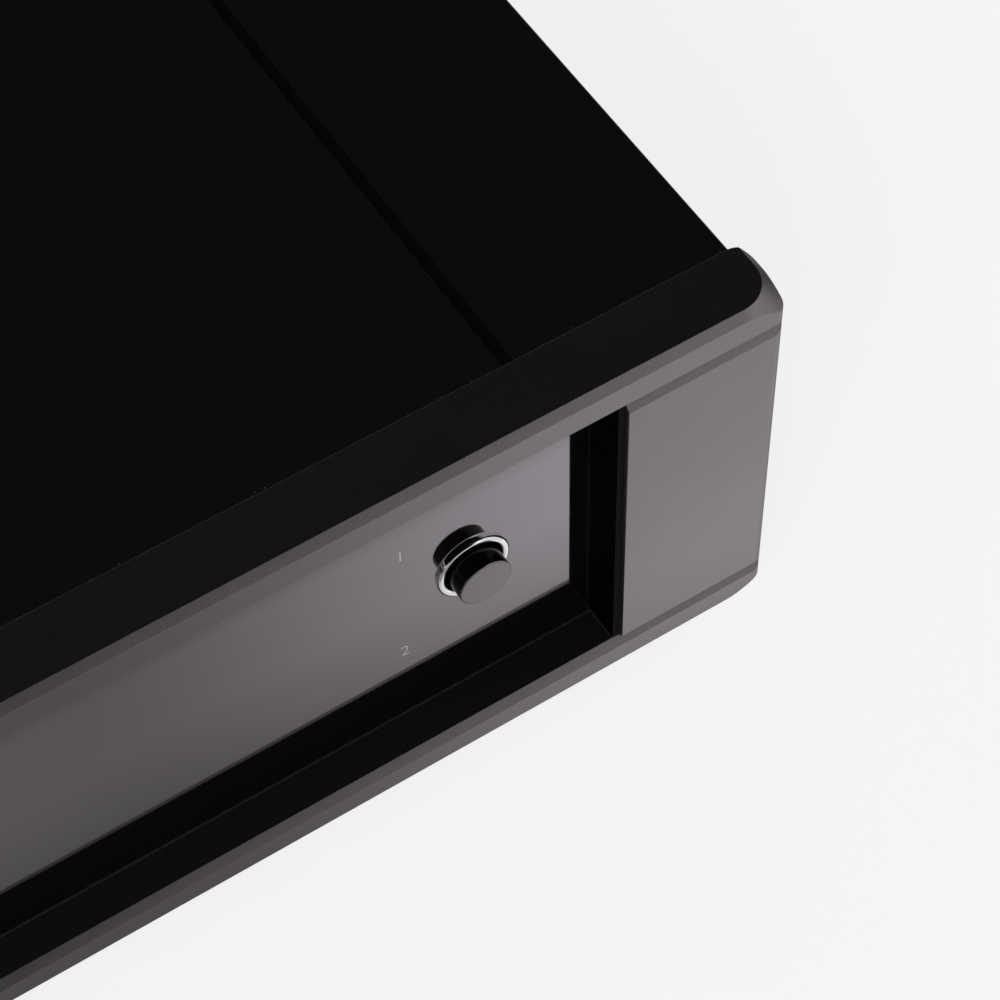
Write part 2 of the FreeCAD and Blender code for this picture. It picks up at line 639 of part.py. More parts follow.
def bezel_screws():
    """Four screws from the tray's front wall into the bezel."""
    screws = []
    for x, z in bezel_screw_places():
        outline = (
            ("0", "bezel_depth - bezel_screw_reach"),
            ("bezel_screw_radius", "bezel_depth - bezel_screw_reach"),
            ("bezel_screw_radius", WALL_BACK),
            ("bezel_screw_head_radius", WALL_BACK),
            ("bezel_screw_head_radius", f"{WALL_BACK} + bezel_screw_head_height"),
            ("0", f"{WALL_BACK} + bezel_screw_head_height"),
        )
        screws.append(turned("BezelScrew", outline, x, "0", z))
    node(join("Part::Compound", "BezelScrews", screws), "bezel_screws")


def fascia_panel():
    """Glossy panel behind the window, with a hole for each button."""
    owner = body("FasciaPanel")
    outline = front_view(owner, "panel_recess")
    reach = f"({WINDOW_HALF} + panel_margin - panel_clearance)"
    low = f"{WINDOW_LOW} - panel_margin + panel_clearance"
    high = f"{WINDOW_HIGH} + panel_margin - panel_clearance"
    rectangle(outline, f"-{reach}", reach, low, high)
    pad(owner, outline, "panel_thickness", True)
    fillet(owner, "panel_corner_radius", lambda edge: along(edge, FreeCAD.Vector(0, 1, 0)))
    holes = front_view(owner, "panel_recess")
    for side in SIDES:
        circle(holes, signed(side, BUTTON_X), BUTTON_Z, SLEEVE_RADIUS)
    pocket(owner, holes)
    node(owner, "fascia_panel")


def panel_gasket():
    """Foam frame between the glossy panel and the tray's front wall."""
    owner = body("PanelGasket")
    frame = front_view(owner, PANEL_BACK)
    reach = f"({WINDOW_HALF} + panel_margin - panel_clearance)"
    low = f"({WINDOW_LOW} - panel_margin + panel_clearance)"
    high = f"({WINDOW_HIGH} + panel_margin - panel_clearance)"
    rectangle(frame, f"-{reach}", reach, low, high)
    inner = f"({reach} - gasket_band)"
    rectangle(frame, f"-{inner}", inner, f"{low} + gasket_band", f"{high} - gasket_band")
    pad(owner, frame, f"bezel_depth - {PANEL_BACK}", True)
    node(owner, "panel_gasket")


def button_ring(label, side):
    """Chrome ring with a sleeve through the panel."""
    front = "panel_recess - ring_proud"
    outline = (
        ("ring_bore", front),
        ("ring_radius", front),
        ("ring_radius", "panel_recess"),
        (SLEEVE_RADIUS, "panel_recess"),
        (SLEEVE_RADIUS, PANEL_BACK),
        ("ring_bore", PANEL_BACK),
    )
    owner = turned(label.title().replace("_", ""), outline, signed(side, BUTTON_X), "0", BUTTON_Z)
    outer = rim(front, "ring_radius")
    inner = rim(front, "ring_bore")
    fillet(owner, "ring_rounding", lambda edge: outer(edge) or inner(edge))
    node(owner, label)


def button_cap(label, side):
    """Push button: flat face, a flange behind the sleeve and a short stem."""
    front = "panel_recess - cap_proud"
    outline = (
        ("0", front),
        ("cap_radius", front),
        ("cap_radius", FLANGE_FRONT),
        ("cap_flange_radius", FLANGE_FRONT),
        ("cap_flange_radius", FLANGE_BACK),
        ("cap_stem_radius", FLANGE_BACK),
        ("cap_stem_radius", STEM_BACK),
        ("0", STEM_BACK),
    )
    owner = turned(label.title().replace("_", ""), outline, signed(side, BUTTON_X), "0", BUTTON_Z)
    fillet(owner, "cap_rounding", rim(front, "cap_radius"))
    node(owner, label)


def push_switch(label, side):
    """Square push switch with a bore for its plunger."""
    owner = body(label.title().replace("_", ""))
    outline = front_view(owner, SWITCH_FRONT)
    centre = signed(side, BUTTON_X)
    half = "switch_side / 2"
    centred(outline, centre, BUTTON_Z, half, half)
    pad(owner, outline, "switch_depth", True)
    bore = circle(front_view(owner, SWITCH_FRONT), centre, BUTTON_Z, "plunger_radius + plunger_clearance")
    pocket(owner, bore, "plunger_length")
    node(owner, label)


def switch_plunger(label, side):
    """Plunger between the button's stem and the inside of its switch."""
    name = label.title().replace("_", "")
    plunger = rod(name, signed(side, BUTTON_X), STEM_BACK, BUTTON_Z, "plunger_radius", "plunger_length")
    node(plunger, label)


def front_stud_places():
    """Studs and screws of the front board."""
    return [
        (signed(side, f"{BUTTON_X} + front_stud_reach"), f"{BUTTON_Z} + {signed(rise, 'front_stud_z')}")
        for side in SIDES
        for rise in SIDES
    ]


def front_board():
    """Board behind the buttons."""
    owner = body("FrontBoard")
    outline = front_view(owner, FRONT_BOARD)
    half = f"({BUTTON_X} + front_stud_reach + front_board_margin)"
    low = f"{BUTTON_Z} - front_board_height / 2"
    high = f"{BUTTON_Z} + front_board_height / 2"
    rectangle(outline, f"-{half}", half, low, high)
    for x, z in front_stud_places():
        circle(outline, x, z, "screw_radius + screw_clearance")
    pad(owner, outline, "board_thickness", True)
    node(owner, "front_board")


def small_screw(name, x, y, z, grip, turn=None):
    """M3 screw: its head starts at the place given and its shank runs back by the grip."""
    outline = (
        ("0", f"-({grip})"),
        ("screw_radius", f"-({grip})"),
        ("screw_radius", "0"),
        ("screw_head_radius", "0"),
        ("screw_head_radius", "screw_head_height"),
        ("screw_socket_radius", "screw_head_height"),
        ("screw_socket_radius", "screw_head_height - screw_socket_depth"),
        ("0", "screw_head_height - screw_socket_depth"),
    )
    owner = turned(name, outline)
    return place(owner, x, y, z, turn)


def front_board_screws():
    """Four screws through the front board into its studs."""
    back = f"{FRONT_BOARD} + board_thickness"
    grip = "board_thickness + switch_depth"
    screws = [small_screw("FrontBoardScrew", x, back, z, grip) for x, z in front_stud_places()]
    node(join("Part::Compound", "FrontBoardScrews", screws), "front_board_screws")


# Case


def cover_screw_places():
    """Depths of the cover's screws along each side."""
    return ("cover_screw_front", "case_depth - cover_screw_setback")


def top_cover():
    """Folded cover: top and both sides, with a groove front to back near each side."""
    owner = body("TopCover")
    inner = f"({CASE_HALF} - cover_thickness)"
    roof = "(bezel_height - cover_thickness)"
    points = (
        (f"-{CASE_HALF}", "underside_step"),
        (f"-{CASE_HALF}", "bezel_height"),
        (CASE_HALF, "bezel_height"),
        (CASE_HALF, "underside_step"),
        (inner, "underside_step"),
        (inner, roof),
        (f"-{inner}", roof),
        (f"-{inner}", "underside_step"),
    )
    pad(owner, polygon(front_view(owner, "bezel_depth"), points), f"{REAR_FACE} - bezel_depth", True)
    roof_level = value("bezel_height") - 1e-4
    depth_axis = FreeCAD.Vector(0, 1, 0)
    fillet(owner, "cover_rounding", lambda edge: along(edge, depth_axis) and edge.BoundBox.ZMin > roof_level)
    grooves = front_view(owner, "bezel_depth")
    for side in SIDES:
        outer = signed(side, "bezel_width / 2 - cover_groove_inset")
        inner_edge = signed(side, "bezel_width / 2 - cover_groove_inset - cover_groove_width")
        rectangle(grooves, inner_edge, outer, "bezel_height - cover_groove_depth", "bezel_height")
    pocket(owner, grooves)
    holes = side_view(owner, CASE_HALF)
    for y in cover_screw_places():
        circle(holes, y, "cover_screw_rise", "screw_radius + screw_clearance")
    pocket(owner, holes)
    node(owner, "top_cover")


def cover_screws():
    """Two screws in each side of the cover."""
    screws = []
    for side in SIDES:
        turn = FreeCAD.Rotation(FreeCAD.Vector(0, 0, 1), -90 * side)
        for y in cover_screw_places():
            grip = "cover_thickness + tray_gap + sheet_thickness"
            x = signed(side, CASE_HALF)
            screws.append(small_screw("CoverScrew", x, y, "cover_screw_rise", grip, turn))
    node(join("Part::Compound", "CoverScrews", screws), "cover_screws")


def rear_screw_places():
    """Four screws of the rear panel."""
    x = f"({CASE_HALF} - rear_screw_inset)"
    heights = ("rear_screw_low", "bezel_height - rear_screw_drop")
    return [(signed(side, x), z) for side in SIDES for z in heights]


def rear_screws():
    """Four screws through the rear panel into the tray."""
    grip = "rear_thickness + sheet_thickness"
    screws = [small_screw("RearScrew", x, "case_depth", z, grip) for x, z in rear_screw_places()]
    node(join("Part::Compound", "RearScrews", screws), "rear_screws")


def foot_places():
    """Names and places of the four feet."""
    x = "bezel_width / 2 - foot_inset"
    return [
        (f"foot_{end}_{hand}", signed(side, x), y)
        for end, y in (("front", "foot_front"), ("rear", "case_depth - foot_setback"))
        for side, hand in zip(SIDES, ("left", "right"))
    ]


def standoff_places():
    """Four standoffs of the main board."""
    return [
        (x, y)
        for x in (f"{BOARD_LEFT} + standoff_inset", f"{BOARD_RIGHT} - standoff_inset")
        for y in ("main_board_front + standoff_inset", f"{BOARD_REAR} - standoff_inset")
    ]


def chassis_base():
    """Bent tray: floor, front wall, low sides and a back with two tall corners."""
    owner = body("ChassisBase")
    floor = plan_view(owner, "underside_step")
    rectangle(floor, f"-{TRAY_HALF}", TRAY_HALF, "bezel_depth", REAR_FACE)
    pad(owner, floor, "sheet_thickness")
    wall = front_view(owner, "bezel_depth")
    top = "bezel_height - cover_thickness - tray_gap"
    rectangle(wall, f"-{TRAY_HALF}", TRAY_HALF, "underside_step", top)
    pad(owner, wall, "sheet_thickness", True)
    sides = plan_view(owner, "underside_step")
    for side in SIDES:
        inner = signed(side, TRAY_INNER)
        rectangle(sides, inner, signed(side, TRAY_HALF), "bezel_depth", REAR_FACE)
    pad(owner, sides, "flange_height")
    back = front_view(owner, f"{REAR_FACE} - sheet_thickness")
    ear = f"({TRAY_HALF} - ear_width)"
    flange_top = "(underside_step + flange_height)"
    points = (
        (f"-{TRAY_HALF}", "underside_step"),
        (TRAY_HALF, "underside_step"),
        (TRAY_HALF, top),
        (ear, top),
        (ear, flange_top),
        (f"-{ear}", flange_top),
        (f"-{ear}", top),
        (f"-{TRAY_HALF}", top),
    )
    pad(owner, polygon(back, points), "sheet_thickness", True)
    studs = front_view(owner, WALL_BACK)
    for x, z in front_stud_places():
        circle(studs, x, z, "stud_radius")
    pad(owner, studs, f"{FRONT_BOARD} - {WALL_BACK}", True)
    stud_holes = front_view(owner, FRONT_BOARD)
    for x, z in front_stud_places():
        circle(stud_holes, x, z, "screw_radius")
    pocket(owner, stud_holes, "switch_depth", True)
    front_holes = front_view(owner, "bezel_depth")
    for side in SIDES:
        circle(front_holes, signed(side, BUTTON_X), BUTTON_Z, "cap_flange_radius + 1")
    for x, z in bezel_screw_places():
        circle(front_holes, x, z, "bezel_screw_radius + screw_clearance")
    pocket(owner, front_holes, "sheet_thickness")
    rear_holes = front_view(owner, f"{REAR_FACE} - sheet_thickness")
    for x, z in rear_screw_places():
        circle(rear_holes, x, z, "screw_radius")
    pocket(owner, rear_holes, "sheet_thickness")
    side_holes = side_view(owner, TRAY_HALF)
    for y in cover_screw_places():
        circle(side_holes, y, "cover_screw_rise", "screw_radius")
    pocket(owner, side_holes)
    floor_holes = plan_view(owner, FLOOR)
    for label, x, y in foot_places():
        circle(floor_holes, x, y, "screw_radius")
    for x, y in standoff_places():
        circle(floor_holes, x, y, "screw_radius")
    circle(floor_holes, TRANSFORMER_X, "transformer_y", "bolt_radius + screw_clearance")
    pocket(owner, floor_holes, "sheet_thickness")
    node(owner, "chassis_base")


def rear_panel():
    """Flat rear panel with its cut-outs."""
    owner = body("RearPanel")
    outline = front_view(owner, REAR_FACE)
    rectangle(outline, f"-{CASE_HALF}", CASE_HALF, "underside_step", "bezel_height")
    pad(owner, outline, "rear_thickness", True)
    holes = front_view(owner, REAR_FACE)
    for x, z in rear_screw_places():
        circle(holes, x, z, "screw_radius + screw_clearance")
    for label, x, z, hand in jack_places():
        circle(holes, x, z, "jack_tail_radius + jack_hole_clearance")
    circle(holes, POST_X, POST_Z, "post_radius + screw_clearance")
    for hand in SIDES:
        x = f"{INLET_X} + {signed(hand, 'inlet_screw_pitch / 2')}"
        circle(holes, x, INLET_Z, "screw_radius")
    half_width = "(inlet_body_width / 2 + inlet_hole_gap)"
    half_height = "(inlet_body_height / 2 + inlet_hole_gap)"
    centred(holes, INLET_X, INLET_Z, half_width, half_height)
    for label, z in slide_switch_places():
        centred(holes, SLIDER_X, z, "slider_slot_width / 2", "slider_slot_height / 2")
    pocket(owner, holes)
    node(owner, "rear_panel")


def feet():
    """Four round feet, each with a recess for its screw."""
    for label, x, y in foot_places():
        seat = "(foot_recess_depth - foot_height)"
        outline = (
            ("screw_radius + screw_clearance", seat),
            ("foot_recess_radius", seat),
            ("foot_recess_radius", "-foot_height"),
            ("foot_radius", "-foot_height"),
            ("foot_radius", "underside_step"),
            ("screw_radius + screw_clearance", "underside_step"),
        )
        owner = turned(label.title().replace("_", ""), outline, x, y, upright=True)
        fillet(owner, "foot_rounding", level_rim("-foot_height", "foot_radius"))
        node(owner, label)


def foot_screws():
    """One screw up through each foot into the tray."""
    turn = FreeCAD.Rotation(FreeCAD.Vector(1, 0, 0), -90)
    seat = "foot_recess_depth - foot_height"
    grip = f"{FLOOR} + foot_screw_tip - ({seat})"
    screws = [small_screw("FootScrew", x, y, seat, grip, turn) for label, x, y in foot_places()]
    node(join("Part::Compound", "FootScrews", screws), "foot_screws")


# Rear connectors


def jack_places():
    """Names, places and hands of the six phono jacks, left channel above right."""
    places = []
    for column, pair in enumerate(JACK_PAIRS):
        x = f"({JACK_FIRST} + {column} * jack_pitch)"
        places.append((f"jack_{pair}_left", x, JACK_HIGH, "white"))
        places.append((f"jack_{pair}_right", x, "jack_low", "red"))
    return places


def phono_jacks():
    """Six plated jacks: flange outside, barrel for the plug and a threaded tail inside."""
    for label, x, z, hand in jack_places():
        flange_back = "(case_depth + jack_flange_thickness)"
        mouth = f"({flange_back} + jack_barrel_length)"
        outline = (
            ("jack_bore", "case_depth - jack_tail_length"),
            ("jack_tail_radius", "case_depth - jack_tail_length"),
            ("jack_tail_radius", "case_depth"),
            ("jack_flange_radius", "case_depth"),
            ("jack_flange_radius", flange_back),
            ("jack_barrel_radius", flange_back),
            ("jack_barrel_radius", mouth),
            ("jack_bore", mouth),
        )
        node(turned(label.title().replace("_", ""), outline, x, "0", z), label)


def jack_inserts():
    """Coloured insulators inside the jacks, white for left and red for right."""
    mouth = "(case_depth + jack_flange_thickness + jack_barrel_length - insert_setback)"
    step = f"({mouth} - insert_lip)"
    tail = f"({step} - contact_length)"
    for colour in ("white", "red"):
        pieces = []
        for label, x, z, hand in jack_places():
            if hand != colour:
                continue
            outline = (
                ("contact_radius", tail),
                ("jack_bore", tail),
                ("jack_bore", mouth),
                ("contact_bore", mouth),
                ("contact_bore", step),
                ("contact_radius", step),
            )
            pieces.append(turned("JackInsert", outline, x, "0", z))
        node(join("Part::Compound", f"JackInserts{colour.title()}", pieces), f"jack_inserts_{colour}")


def jack_contacts():
    """Contact tube and solder tail of each jack."""
    step = "(case_depth + jack_flange_thickness + jack_barrel_length - insert_setback - insert_lip)"
    tail = f"({step} - contact_length)"
    pieces = []
    for label, x, z, hand in jack_places():
        outline = (
            ("0", JACK_BOARD),
            ("contact_tail_radius", JACK_BOARD),
            ("contact_tail_radius", tail),
            ("contact_radius", tail),
            ("contact_radius", step),
            ("contact_bore", step),
            ("contact_bore", f"{tail} + contact_bore"),
            ("0", f"{tail} + contact_bore"),
        )
        pieces.append(turned("JackContact", outline, x, "0", z))
    node(join("Part::Compound", "JackContacts", pieces), "jack_contacts")


def hexagon(name, x, y, z, radius, height, upright=False):
    """Six-sided bar that runs to the rear, or up."""
    turn = None if upright else FreeCAD.Rotation(FreeCAD.Vector(1, 0, 0), -90)
    bar = place(doc.addObject("Part::Prism", name), x, y, z, turn)
    bar.Polygon = 6
    bar.setExpression("Circumradius", bound(radius))
    bar.setExpression("Height", bound(height))
    return bar


def jack_nuts():
    """Nuts that hold the jacks from inside."""
    pieces = []
    for label, x, z, hand in jack_places():
        front = f"{REAR_FACE} - jack_nut_height"
        outer = hexagon("JackNutBody", x, front, z, "jack_nut_radius", "jack_nut_height")
        hole = rod("JackNutHole", x, front, z, "jack_tail_radius", "jack_nut_height")
        pieces.append(cut("JackNut", outer, hole))
    node(join("Part::Compound", "JackNuts", pieces), "jack_nuts")


def jack_board():
    """Upright board that carries the jacks' tails down to the main board."""
    left = f"({JACK_FIRST} - jack_board_margin)"
    width = f"{JACK_LAST} + jack_board_margin - {left}"
    board = box("JackBoard", left, JACK_BOARD_FRONT, BOARD_TOP, width, "board_thickness", "jack_board_height")
    node(board, "jack_board")


def earth_terminal():
    """Threaded post, plain washer and knurled nut."""
    outline = (
        ("0", "case_depth - post_tail"),
        ("post_radius", "case_depth - post_tail"),
        ("post_radius", "case_depth"),
        ("post_flange_radius", "case_depth"),
        ("post_flange_radius", COLLAR_FACE),
        ("post_radius", COLLAR_FACE),
        ("post_radius", "case_depth + post_reach"),
        ("0", "case_depth + post_reach"),
    )
    node(turned("GroundPost", outline, POST_X, "0", POST_Z), "ground_post")
    bore = "post_radius + thread_clearance"
    edge = "washer_radius"
    outline = ((bore, COLLAR_FACE), (edge, COLLAR_FACE), (edge, NUT_FACE), (bore, NUT_FACE))
    node(turned("GroundWasher", outline, POST_X, "0", POST_Z), "ground_washer")
    back = f"({NUT_FACE} + knurl_length)"
    outline = ((bore, NUT_FACE), ("knurl_radius", NUT_FACE), ("knurl_radius", back), (bore, back))
    nut = turned("GroundNut", outline, POST_X, "0", POST_Z)
    fillet(nut, "knurl_rounding", rim(back, "knurl_radius"))
    groove = circle(front_view(nut, NUT_FACE), "0", "knurl_radius + knurl_depth / 4", "knurl_depth")
    flute = pocket(nut, groove)
    ring = nut.newObject("PartDesign::PolarPattern", "GroundNutFlutes")
    ring.Originals = [flute]
    ring.Axis = (next(item for item in nut.Origin.OriginFeatures if item.Role == "Y_Axis"), [""])
    ring.Angle = 360
    ring.setExpression("Occurrences", bound("knurl_count"))
    nut.Tip = ring
    node(nut, "ground_nut")


def mains_inlet():
    """Fused mains inlet: flange, body, socket with two cut corners and the drawer's slot."""
    owner = body("MainsInlet")
    flange = front_view(owner, "case_depth")
    half = "inlet_flange_width / 2"
    rise = "inlet_flange_height / 2"
    centred(flange, INLET_X, INLET_Z, half, rise)
    pad(owner, flange, "inlet_flange_thickness", True)
    fillet(owner, "inlet_flange_rounding", lambda edge: along(edge, FreeCAD.Vector(0, 1, 0)))
    shell = front_view(owner, "case_depth")
    half = "inlet_body_width / 2"
    rise = "inlet_body_height / 2"
    centred(shell, INLET_X, INLET_Z, half, rise)
    pad(owner, shell, "inlet_body_depth")
    mouth = front_view(owner, INLET_FACE)
    left = f"({INLET_X} - socket_width / 2)"
    right = f"({INLET_X} + socket_width / 2)"
    low = f"({SOCKET_Z} - socket_height / 2)"
    high = f"({SOCKET_Z} + socket_height / 2)"
    points = (
        (left, low),
        (right, low),
        (right, f"{high} - socket_corner"),
        (f"{right} - socket_corner", high),
        (f"{left} + socket_corner", high),
        (left, f"{high} - socket_corner"),
    )
    pocket(owner, polygon(mouth, points), "socket_depth", True)
    slot = front_view(owner, INLET_FACE)
    half = "(drawer_width / 2 + drawer_clearance)"
    rise = "(drawer_height / 2 + drawer_clearance)"
    centred(slot, INLET_X, DRAWER_Z, half, rise)
    pocket(owner, slot, "drawer_depth + drawer_clearance", True)
    blades = front_view(owner, f"{INLET_FACE} - socket_depth")
    for x, z in inlet_pin_places():
        wide = "inlet_pin_width / 2"
        tall = "inlet_pin_height / 2"
        centred(blades, x, z, wide, tall)
    pocket(owner, blades, backwards=True)
    holes = front_view(owner, INLET_FACE)
    for hand in SIDES:
        x = f"{INLET_X} + {signed(hand, 'inlet_screw_pitch / 2')}"
        circle(holes, x, INLET_Z, "screw_radius + screw_clearance")
    pocket(owner, holes, backwards=True)
    node(owner, "mains_inlet")


def inlet_pin_places():
    """Middle of each of the three blades."""
    return (
        (INLET_X, f"({SOCKET_Z} + inlet_pin_offset)"),
        (f"({INLET_X} - inlet_pin_pitch)", f"({SOCKET_Z} - inlet_pin_offset)"),
        (f"({INLET_X} + inlet_pin_pitch)", f"({SOCKET_Z} - inlet_pin_offset)"),
    )


def inlet_pins():
    """Three flat blades through the back of the socket."""
    front = f"{INLET_FACE} - socket_depth - inlet_pin_root"
    length = "inlet_pin_root + inlet_pin_length"
    pieces = []
    for x, z in inlet_pin_places():
        left = f"{x} - inlet_pin_width / 2"
        low = f"{z} - inlet_pin_height / 2"
        pieces.append(box("InletPin", left, front, low, "inlet_pin_width", length, "inlet_pin_height"))
    node(join("Part::Compound", "InletPins", pieces), "inlet_pins")


def inlet_screws():
    """Two screws of the mains inlet."""
    grip = "inlet_flange_thickness + rear_thickness"
    pieces = []
    for hand in SIDES:
        x = f"{INLET_X} + {signed(hand, 'inlet_screw_pitch / 2')}"
        pieces.append(small_screw("InletScrew", x, INLET_FACE, INLET_Z, grip))
    node(join("Part::Compound", "InletScrews", pieces), "inlet_screws")


def fuse_drawer():
    """Drawer with a finger notch and an open trough for the fuse."""
    owner = body("FuseDrawer")
    tray = front_view(owner, INLET_FACE)
    half = "drawer_width / 2"
    rise = "drawer_height / 2"
    centred(tray, INLET_X, DRAWER_Z, half, rise)
    pad(owner, tray, "drawer_depth")
    face = front_view(owner, INLET_FACE)
    half = "(drawer_width / 2 + drawer_front_margin)"
    low = f"{DRAWER_Z} - drawer_height / 2 - drawer_front_margin"
    high = f"{DRAWER_Z} + drawer_height / 2"
    rectangle(face, f"{INLET_X} - {half}", f"{INLET_X} + {half}", low, high)
    pad(owner, face, "drawer_front_thickness", True)
    notch = front_view(owner, f"{INLET_FACE} + drawer_front_thickness")
    rectangle(notch, f"{INLET_X} - drawer_notch / 2", f"{INLET_X} + drawer_notch / 2", low, DRAWER_Z)
    pocket(owner, notch, "drawer_front_thickness / 2", True)
    trough = plan_view(owner, f"{DRAWER_Z} + drawer_height / 2")
    half = "(fuse_length / 2 + drawer_clearance)"
    middle = f"({INLET_FACE} - fuse_setback)"
    reach = "(fuse_radius + drawer_clearance)"
    centred(trough, INLET_X, middle, half, reach)
    pocket(owner, trough, "drawer_height - drawer_wall / 2")
    node(owner, "fuse_drawer")


def fuse():
    """Glass fuse with two metal caps, lying across the drawer."""
    owner = place(
        doc.addObject("PartDesign::Body", "Fuse"),
        INLET_X,
        f"{INLET_FACE} - fuse_setback",
        f"{DRAWER_Z} - drawer_height / 2 + drawer_wall / 2 + fuse_radius",
    )
    drawing = sketch(owner, "XZ_Plane")
    half = "fuse_length / 2"
    inner = "(fuse_length / 2 - fuse_cap_length)"
    points = (
        (f"-{half}", "0"),
        (half, "0"),
        (half, "fuse_radius"),
        (inner, "fuse_radius"),
        (inner, "fuse_glass_radius"),
        (f"-{inner}", "fuse_glass_radius"),
        (f"-{inner}", "fuse_radius"),
        (f"-{half}", "fuse_radius"),
    )
    polygon(drawing, points)
    feature = owner.newObject("PartDesign::Revolution", "FuseTurn")
    feature.Profile = drawing
    feature.ReferenceAxis = (drawing, ["H_Axis"])
    feature.Angle = 360
    owner.Tip = feature
    node(owner, "fuse")


def slide_switch_places():
    """Names and heights of the two slide switches, level with the jacks."""
    return (("gain", JACK_HIGH), ("load", "jack_low"))


def slide_switches():
    """Slide switch behind the rear panel, with its lever at the left end of the throw."""
    for name, z in slide_switch_places():
        owner = body(f"{name.title()}Switch")
        block = front_view(owner, REAR_FACE)
        half = "slider_body_width / 2"
        rise = "slider_body_height / 2"
        centred(block, SLIDER_X, z, half, rise)
        pad(owner, block, "slider_body_depth")
        well = front_view(owner, REAR_FACE)
        half = "slider_slot_width / 2"
        rise = "slider_slot_height / 2"
        centred(well, SLIDER_X, z, half, rise)
        pocket(owner, well, "slider_well_depth", True)
        node(owner, f"{name}_switch")
        left = f"{SLIDER_X} - slider_travel / 2 - slider_width / 2"
        front = f"{REAR_FACE} - slider_well_depth + slider_floor_gap"
        depth = "slider_well_depth - slider_floor_gap + rear_thickness + slider_proud"
        low = f"{z} - slider_height / 2"
        lever = box(f"{name.title()}Slider", left, front, low, "slider_width", depth, "slider_height")
        node(lever, f"{name}_slider")


# Inside


def main_board():
    """Main circuit board with its four screw holes."""
    owner = body("MainBoard")
    outline = plan_view(owner, BOARD_LOW)
    rectangle(outline, BOARD_LEFT, BOARD_RIGHT, "main_board_front", BOARD_REAR)
    for x, y in standoff_places():
        circle(outline, x, y, "screw_radius + screw_clearance")
    pad(owner, outline, "board_thickness")
    node(owner, "main_board")


def board_standoffs():
    """Four standoffs between the tray and the main board."""
    pieces = []
    for x, y in standoff_places():
        post = rod("StandoffBody", x, y, FLOOR, "standoff_radius", "standoff_height", True)
        hole = rod("StandoffHole", x, y, FLOOR, "screw_radius", "standoff_height", True)
        pieces.append(cut("Standoff", post, hole))
    node(join("Part::Compound", "BoardStandoffs", pieces), "board_standoffs")


def board_screws():
    """Four screws down through the main board."""
    turn = FreeCAD.Rotation(FreeCAD.Vector(1, 0, 0), 90)
    grip = "board_thickness + standoff_height"
    pieces = [small_screw("BoardScrew", x, y, BOARD_TOP, grip, turn) for x, y in standoff_places()]
    node(join("Part::Compound", "BoardScrews", pieces), "board_screws")


def transformer():
    """Toroidal transformer between two pads, under a dished plate and a bolt."""
    x = TRANSFORMER_X
    y = "transformer_y"
    outline = (
        ("transformer_hole", WINDING_LOW),
        ("transformer_radius", WINDING_LOW),
        ("transformer_radius", WINDING_TOP),
        ("transformer_hole", WINDING_TOP),
    )
    winding = turned("TransformerWinding", outline, x, y, upright=True)
    doc.recompute()
    fillet(winding, "transformer_rounding", lambda edge: isinstance(edge.Curve, Part.Circle))
    node(winding, "transformer_winding")
    pads = []
    for low in (FLOOR, WINDING_TOP):
        disc = rod("PadDisc", x, y, low, "pad_radius", "pad_thickness", True)
        hole = rod("PadHole", x, y, low, "bolt_radius + bolt_clearance", "pad_thickness", True)
        pads.append(cut("TransformerPad", disc, hole))
    node(join("Part::Compound", "TransformerPads", pads), "transformer_pads")
    bore = "bolt_radius + bolt_clearance"
    top = f"({PLATE_LOW} + plate_thickness)"
    dish = "(bolt_head_radius + plate_dish)"
    slope = "(bolt_head_radius + plate_dish * 2)"
    outline = (
        (bore, PLATE_LOW),
        ("plate_radius", PLATE_LOW),
        ("plate_radius", top),
        (slope, top),
        (dish, f"{top} - plate_thickness / 2"),
        (bore, f"{top} - plate_thickness / 2"),
    )
    node(turned("TransformerPlate", outline, x, y, upright=True), "transformer_plate")
    seat = f"({top} - plate_thickness / 2)"
    shank = rod("BoltShank", x, y, "underside_step", "bolt_radius", f"{seat} - underside_step", True)
    head = hexagon("BoltHead", x, y, seat, "bolt_head_radius", "bolt_head_height", True)
    node(join("Part::MultiFuse", "TransformerBolt", [shank, head]), "transformer_bolt")


def filter_capacitors():
    """Four upright cans in a square."""
    pieces = []
    for column in range(2):
        for rank in range(2):
            x = f"{FILTER_X} + {column} * filter_pitch"
            y = f"{FILTER_Y} + {rank} * filter_pitch"
            top = f"{BOARD_TOP} + filter_height"
            outline = (("0", BOARD_TOP), ("filter_radius", BOARD_TOP), ("filter_radius", top), ("0", top))
            can = turned("FilterCapacitor", outline, x, y, upright=True)
            fillet(can, "filter_rounding", level_rim(top, "filter_radius"))
            pieces.append(can)
    node(join("Part::Compound", "FilterCapacitors", pieces), "filter_capacitors")


def film_capacitors():
    """Two rows of box-shaped signal capacitors."""
    pieces = []
    for column in range(FILM_COLUMNS):
        for rank in range(2):
            x = f"{FILM_X} + {column} * film_pitch"
            y = f"{FILM_Y} + {rank} * film_row"
            piece = box("FilmCapacitor", x, y, BOARD_TOP, "film_width", "film_thickness", "film_height")
            pieces.append(piece)
    node(join("Part::Compound", "FilmCapacitors", pieces), "film_capacitors")


def amplifier_chips():
    """Row of amplifier chips."""
    pieces = []
    for column in range(FILM_COLUMNS):
        x = f"{FILM_X} + {column} * film_pitch"
        pieces.append(box("AmplifierChip", x, CHIP_Y, BOARD_TOP, "chip_length", "chip_width", "chip_height"))
    node(join("Part::Compound", "AmplifierChips", pieces), "amplifier_chips")


def input_relays():
    """Relays that pick the cartridge input, in front of the jacks."""
    pieces = []
    for column in range(len(JACK_PAIRS)):
        x = f"{JACK_FIRST} + {column} * jack_pitch - relay_width / 2"
        pieces.append(box("InputRelay", x, RELAY_Y, BOARD_TOP, "relay_width", "relay_length", "relay_height"))
    node(join("Part::Compound", "InputRelays", pieces), "input_relays")


